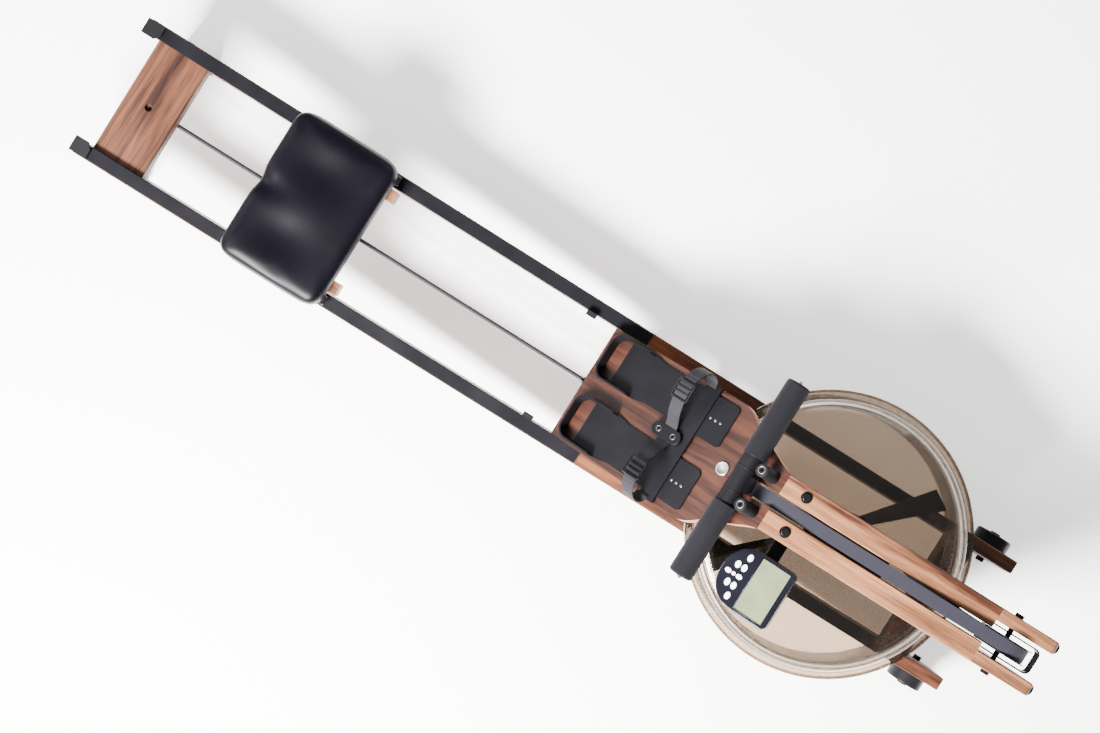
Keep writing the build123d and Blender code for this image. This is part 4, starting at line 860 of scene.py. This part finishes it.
class ROWER_OT_foot_straps(bpy.types.Operator):
    """Makes the two foot straps with their ladder buckles and stitching, and the hub between."""

    bl_idname = "rower.foot_straps"
    bl_label = "Foot straps"

    thickness = 0.0022
    across = Vector((1, 0, 0))
    # The middle line of the left strap over the board: along, across and above it.
    arch = (
        (0.236, 0.010, 0.0120), (0.237, 0.024, 0.0200), (0.239, 0.045, 0.0400),
        (0.241, 0.075, 0.0560), (0.243, 0.105, 0.0590), (0.246, 0.130, 0.0470),
        (0.250, 0.1395, 0.0280), (0.255, 0.133, 0.0140), (0.258, 0.119, 0.0112),
    )
    buckle_along, buckle_clear = 0.46, 0.0018
    buckle_half_long, buckle_half_wide, buckle_thick = 0.0175, 0.0185, 0.0030
    rail_wide, bar_long = 0.0038, 0.0042
    stitch_rows, stitches_in_row, stitch_gap, stitch_clear = (0.60, 0.64), 9, 0.0028, 0.0022
    stitch_size = Vector((0.0010, 0.0004, 0.0004))
    hub_x, hub_radius, hub_half_long, hub_high = 0.234, 0.014, 0.021, 0.0174
    screw_places, screw_high = (0.216, 0.252), 0.0176

    def facing(self, line, spot, ahead, behind):
        """The strap's direction at a spot on its line, and the way out from the foot."""
        heading = (line[spot + ahead] - line[spot - behind]).normalized()
        outward = self.across.cross(heading)
        if outward.z < 0:
            outward.negate()
        return heading, outward

    def strap(self, side, sign, sizes):
        """One strap over a foot, with its buckle and its stitching."""
        line = curve_points([(a, sign * y, h) for a, y, h in self.arch], sizes.steps)
        bm = ribbon(line, lambda index: self.across, sizes.foot_width, self.thickness)
        strap = new_piece(
            f"foot_webbing_{side}", bm, black_webbing(), "frame", False, BOARD)
        self.buckle(side, line)
        self.stitches(side, line)
        return strap

    def buckle(self, side, line):
        """A ladder buckle: two rails and four cross bars, lying along the strap."""
        spot = int(len(line) * self.buckle_along)
        heading, outward = self.facing(line, spot, 2, 2)
        place = Matrix.Identity(4)
        for column, direction in enumerate((heading, self.across, outward)):
            place.col[column][:3] = direction
        place.translation = line[spot] + outward * self.buckle_clear
        half_long, half_wide = self.buckle_half_long, self.buckle_half_wide
        bm = bmesh.new()
        rails = [(0, sign * half_wide, 2 * half_long, self.rail_wide) for sign in (-1, 1)]
        bars = [(x, 0, self.bar_long, 2 * half_wide) for x in (-half_long, -0.004, 0.006, half_long)]
        for x, y, long, wide in rails + bars:
            made = bmesh.ops.create_cube(bm, size=1.0)
            bmesh.ops.scale(bm, vec=(long, wide, self.buckle_thick), verts=made["verts"])
            bmesh.ops.translate(bm, vec=(x, y, 0), verts=made["verts"])
        bmesh.ops.recalc_face_normals(bm, faces=bm.faces)
        buckle = new_piece(
            f"ladder_buckle_{side}", bm, black_plastic(), "frame", True,
            BOARD @ place)
        soften(buckle, 0.0009)

    def stitches(self, side, line):
        """Two short rows of thread across the strap."""
        bm = bmesh.new()
        for row in self.stitch_rows:
            spot = int(len(line) * row)
            _, outward = self.facing(line, spot, 1, 0)
            for step in range(self.stitches_in_row):
                offset = (step - self.stitches_in_row // 2) * self.stitch_gap
                made = bmesh.ops.create_uvsphere(bm, u_segments=8, v_segments=5, radius=1.0)
                bmesh.ops.scale(bm, vec=self.stitch_size, verts=made["verts"])
                bmesh.ops.translate(
                    bm, vec=line[spot] + outward * self.stitch_clear + self.across * offset,
                    verts=made["verts"])
        new_piece(f"foot_stitching_{side}", bm, stitching(), "frame", True, BOARD)

    def hub(self):
        """The oval clamp that holds the straps' inner ends, with its two socket screws."""
        bm = bmesh.new()
        made = bmesh.ops.create_circle(bm, cap_ends=True, segments=48, radius=self.hub_radius)
        for v in made["verts"]:
            v.co.x += math.copysign(self.hub_half_long, v.co.x) + self.hub_x
        grown = bmesh.ops.extrude_face_region(bm, geom=bm.faces[:])["geom"]
        for v in grown:
            if isinstance(v, bmesh.types.BMVert):
                v.co.z += self.hub_high
        bmesh.ops.recalc_face_normals(bm, faces=bm.faces)
        hub = new_piece("strap_hub", bm, black_plastic(), "frame", True, BOARD)
        soften(hub, 0.0016, 3)
        for number, x in enumerate(self.screw_places, 1):
            place = at(BOARD, x, 0, self.screw_high)
            new_piece(
                f"hub_screw_{number}", screw_head(0.0046, 0.0016, 0.0022), black_steel(),
                "frame", True, place)
            new_piece(
                f"hub_ring_{number}", ring(0.0052, 0.0, 0.0007, 32), dull_steel(),
                "frame", True, place)
        return hub

    def execute(self, context):
        sizes = context.scene.rower_webbing
        straps = [self.strap(side, sign, sizes) for side, sign in SIDES]
        hub = self.hub()
        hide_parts("foot_straps")
        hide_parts("strap_fittings")
        return {"FINISHED"}


class ROWER_OT_details(bpy.types.Operator):
    """Adds the small trim: badge, tank seal, rings, tab pins, handle seams, washers and bezel."""

    bl_idname = "rower.details"
    bl_label = "Small trim"

    badge_x = 0.367
    badge_profile = (
        (0.0, 0.0028), (0.0105, 0.0028), (0.0118, 0.0036), (0.0130, 0.0030), (0.0134, 0.0002))
    peg_x, peg_y = 0.462, 0.036
    pin_places, pin_y, pin_high = (0.291, 0.303, 0.315), 0.069, 0.00476
    pin_profile = ((0.0, 0.0001), (0.0026, 0.0001), (0.0029, -0.0004))
    handle_x, handle_z = 0.385, 0.470
    # Name, distance from the middle, radius to the section's middle, and the section's radius.
    seams = (("collar", 0.0500, 0.0192, 0.0012), ("waist", 0.0240, 0.0190, 0.0009))
    bolt_x, bolt_y, bolt_z = 0.501, 0.0365, 0.4902
    screen_x, screen_half_long, screen_half_wide, bezel_fat = 0.0235, 0.0290, 0.0525, 0.0011

    def badge(self):
        """The plain round badge near the top of the footboard."""
        new_piece(
            "plain_badge", turned(self.badge_profile, 64), bright_steel(), "frame",
            True, at(BOARD, self.badge_x, 0, 0))

    def tank_seal(self):
        """The clear bead where the cover meets the bowl."""
        new_piece(
            "tank_seal", ring(0.2795, 0.306, 0.0022, 160), clear_tank(), "frame",
            True, at(MACHINE, DRUM_X, 0, 0))

    def peg_rings(self):
        """A metal ring round the top of each handle peg."""
        for side, sign in SIDES:
            new_piece(
                f"peg_ring_{side}", ring(0.0066, 0.0562, 0.0011, 40), dull_steel(), "frame",
                True, at(BOARD, self.peg_x, sign * self.peg_y, 0))

    def tab_pins(self):
        """Three steel pins in the tab of each heel rest."""
        for side, sign in SIDES:
            for number, x in enumerate(self.pin_places, 1):
                new_piece(
                    f"tab_pin_{side}_{number}", turned(self.pin_profile, 24), dull_steel(),
                    f"heel_rest_{side}", True,
                    at(BOARD, x, sign * self.pin_y, self.pin_high))

    def handle_seams(self):
        """Raised seams round the handle: a collar and a waist on each side of its middle."""
        sideways = Matrix.Rotation(math.pi / 2, 4, "X")
        for side, sign in SIDES:
            for name, y, radius, fat in self.seams:
                new_piece(
                    f"handle_{name}_{side}", ring(radius, 0.0, fat, 56), black_plastic(),
                    "handle", True,
                    at(MACHINE, self.handle_x, sign * y, self.handle_z) @ sideways)

    def arm_washers(self):
        """A washer under the head of each arm's bolt."""
        for side, sign in SIDES:
            new_piece(
                f"arm_washer_{side}", ring(0.0098, 0.0004, 0.0010, 40), black_steel(), "frame",
                True, at(MACHINE, self.bolt_x, sign * self.bolt_y, self.bolt_z))

    def screen_bezel(self):
        """The fine raised edge round the display."""
        low, high = self.screen_x - self.screen_half_long, self.screen_x + self.screen_half_long
        half = self.screen_half_wide
        corners = [Vector((x, y, 0)) for x, y in (
            (low, -half), (high, -half), (high, half), (low, half))]
        new_piece(
            "screen_bezel", closed_tube(corners, self.bezel_fat), monitor_case(), "monitor",
            True, MONITOR)

    def execute(self, context):
        for make in (self.badge, self.tank_seal, self.peg_rings, self.tab_pins,
                     self.handle_seams, self.arm_washers, self.screen_bezel):
            make()
        return {"FINISHED"}


class ROWER_OT_stage(bpy.types.Operator):
    """Sets out the pale floor, the soft light and the camera high over the machine."""

    bl_idname = "rower.stage"
    bl_label = "Studio"

    camera_at = Vector((0.0269, 0.0254, 2.8016))
    camera_turn = (math.radians(-0.293), math.radians(1.096), math.radians(32.076))
    aim = Vector((0.1, 0, 0.1))

    def floor(self):
        """A wide sheet of white paper under the machine."""
        bm = bmesh.new()
        bmesh.ops.create_grid(bm, x_segments=1, y_segments=1, size=12.0)
        mesh = bpy.data.meshes.new("studio_floor")
        bm.to_mesh(mesh)
        bm.free()
        floor = bpy.data.objects.new("studio_floor", mesh)
        bpy.context.scene.collection.objects.link(floor)
        paper = Finish("studio paper").set(
            Base_Color=(0.97, 0.965, 0.96), Roughness=0.9, Specular_IOR_Level=0.0,
            Emission_Color=(1.0, 0.995, 0.99), Emission_Strength=0.9)
        mesh.materials.append(paper.material)

    def lamp(self, name, place, size, power, tone=(1, 1, 1)):
        """A rectangular lamp that points at the middle of the machine."""
        light = bpy.data.lights.new(name, "AREA")
        light.shape = "RECTANGLE"
        light.size, light.size_y = size
        light.energy = power
        light.color = tone
        lamp = bpy.data.objects.new(name, light)
        lamp.location = place
        lamp.rotation_euler = (self.aim - Vector(place)).to_track_quat("-Z", "Y").to_euler()
        bpy.context.scene.collection.objects.link(lamp)

    def air(self, scene):
        """The even light of a white room."""
        world = bpy.data.worlds.new("studio air")
        world.use_nodes = True
        background = world.node_tree.nodes["Background"]
        background.inputs["Color"].default_value = (1.0, 0.995, 0.99, 1.0)
        background.inputs["Strength"].default_value = 0.50
        scene.world = world

    def camera(self, scene, focal_length):
        """The camera, almost straight above."""
        lens = bpy.data.cameras.new("camera")
        lens.lens = focal_length
        lens.sensor_width = 36.0
        camera = bpy.data.objects.new("camera", lens)
        camera.location = self.camera_at
        camera.rotation_euler = self.camera_turn
        scene.collection.objects.link(camera)
        scene.camera = camera

    def execute(self, context):
        settings = context.scene.rower_stage
        power = settings.key_power
        self.floor()
        self.lamp("key", (-0.5, -2.3, 2.6), (1.7, 0.9), power, (1.0, 0.985, 0.965))
        self.lamp("fill", (0.4, 3.4, 2.6), (3.4, 1.6), power * 0.05)
        self.lamp("rim", (-3.2, -0.4, 2.2), (1.6, 2.4), power * 0.05)
        self.air(context.scene)
        self.camera(context.scene, settings.lens)
        return {"FINISHED"}


class ROWER_PT_panel(bpy.types.Panel):
    """Lists the settings and the steps that make the machine."""

    bl_idname = "ROWER_PT_panel"
    bl_label = "Rowing machine"
    bl_space_type = "VIEW_3D"
    bl_region_type = "UI"
    bl_category = "Rower"

    def draw(self, context):
        for group, settings in SETTINGS:
            box = self.layout.box()
            box.label(text=group.replace("rower_", "").title())
            for name in settings.__annotations__:
                box.prop(getattr(context.scene, group), name)
        for operator in OPERATORS:
            self.layout.operator(operator.bl_idname)


SETTINGS = (
    ("rower_wood", RowerWood), ("rower_seat", RowerSeat), ("rower_webbing", RowerWebbing),
    ("rower_tank", RowerTank), ("rower_stage", RowerStage),
)
OPERATORS = (
    ROWER_OT_finishes, ROWER_OT_seat, ROWER_OT_pull_strap, ROWER_OT_foot_straps, ROWER_OT_details,
    ROWER_OT_stage,
)


def register():
    for _, settings in SETTINGS:
        bpy.utils.register_class(settings)
    for cls in (*OPERATORS, ROWER_PT_panel):
        bpy.utils.register_class(cls)
    for group, settings in SETTINGS:
        setattr(bpy.types.Scene, group, PointerProperty(type=settings))


def unregister():
    for group, _ in SETTINGS:
        delattr(bpy.types.Scene, group)
    for cls in (ROWER_PT_panel, *reversed(OPERATORS)):
        bpy.utils.unregister_class(cls)
    for _, settings in reversed(SETTINGS):
        bpy.utils.unregister_class(settings)


def main():
    register()
    bpy.ops.rower.finishes()
    bpy.ops.rower.seat()
    bpy.ops.rower.pull_strap()
    bpy.ops.rower.foot_straps()
    bpy.ops.rower.details()
    bpy.ops.rower.stage()


if __name__ == "__main__":
    main()
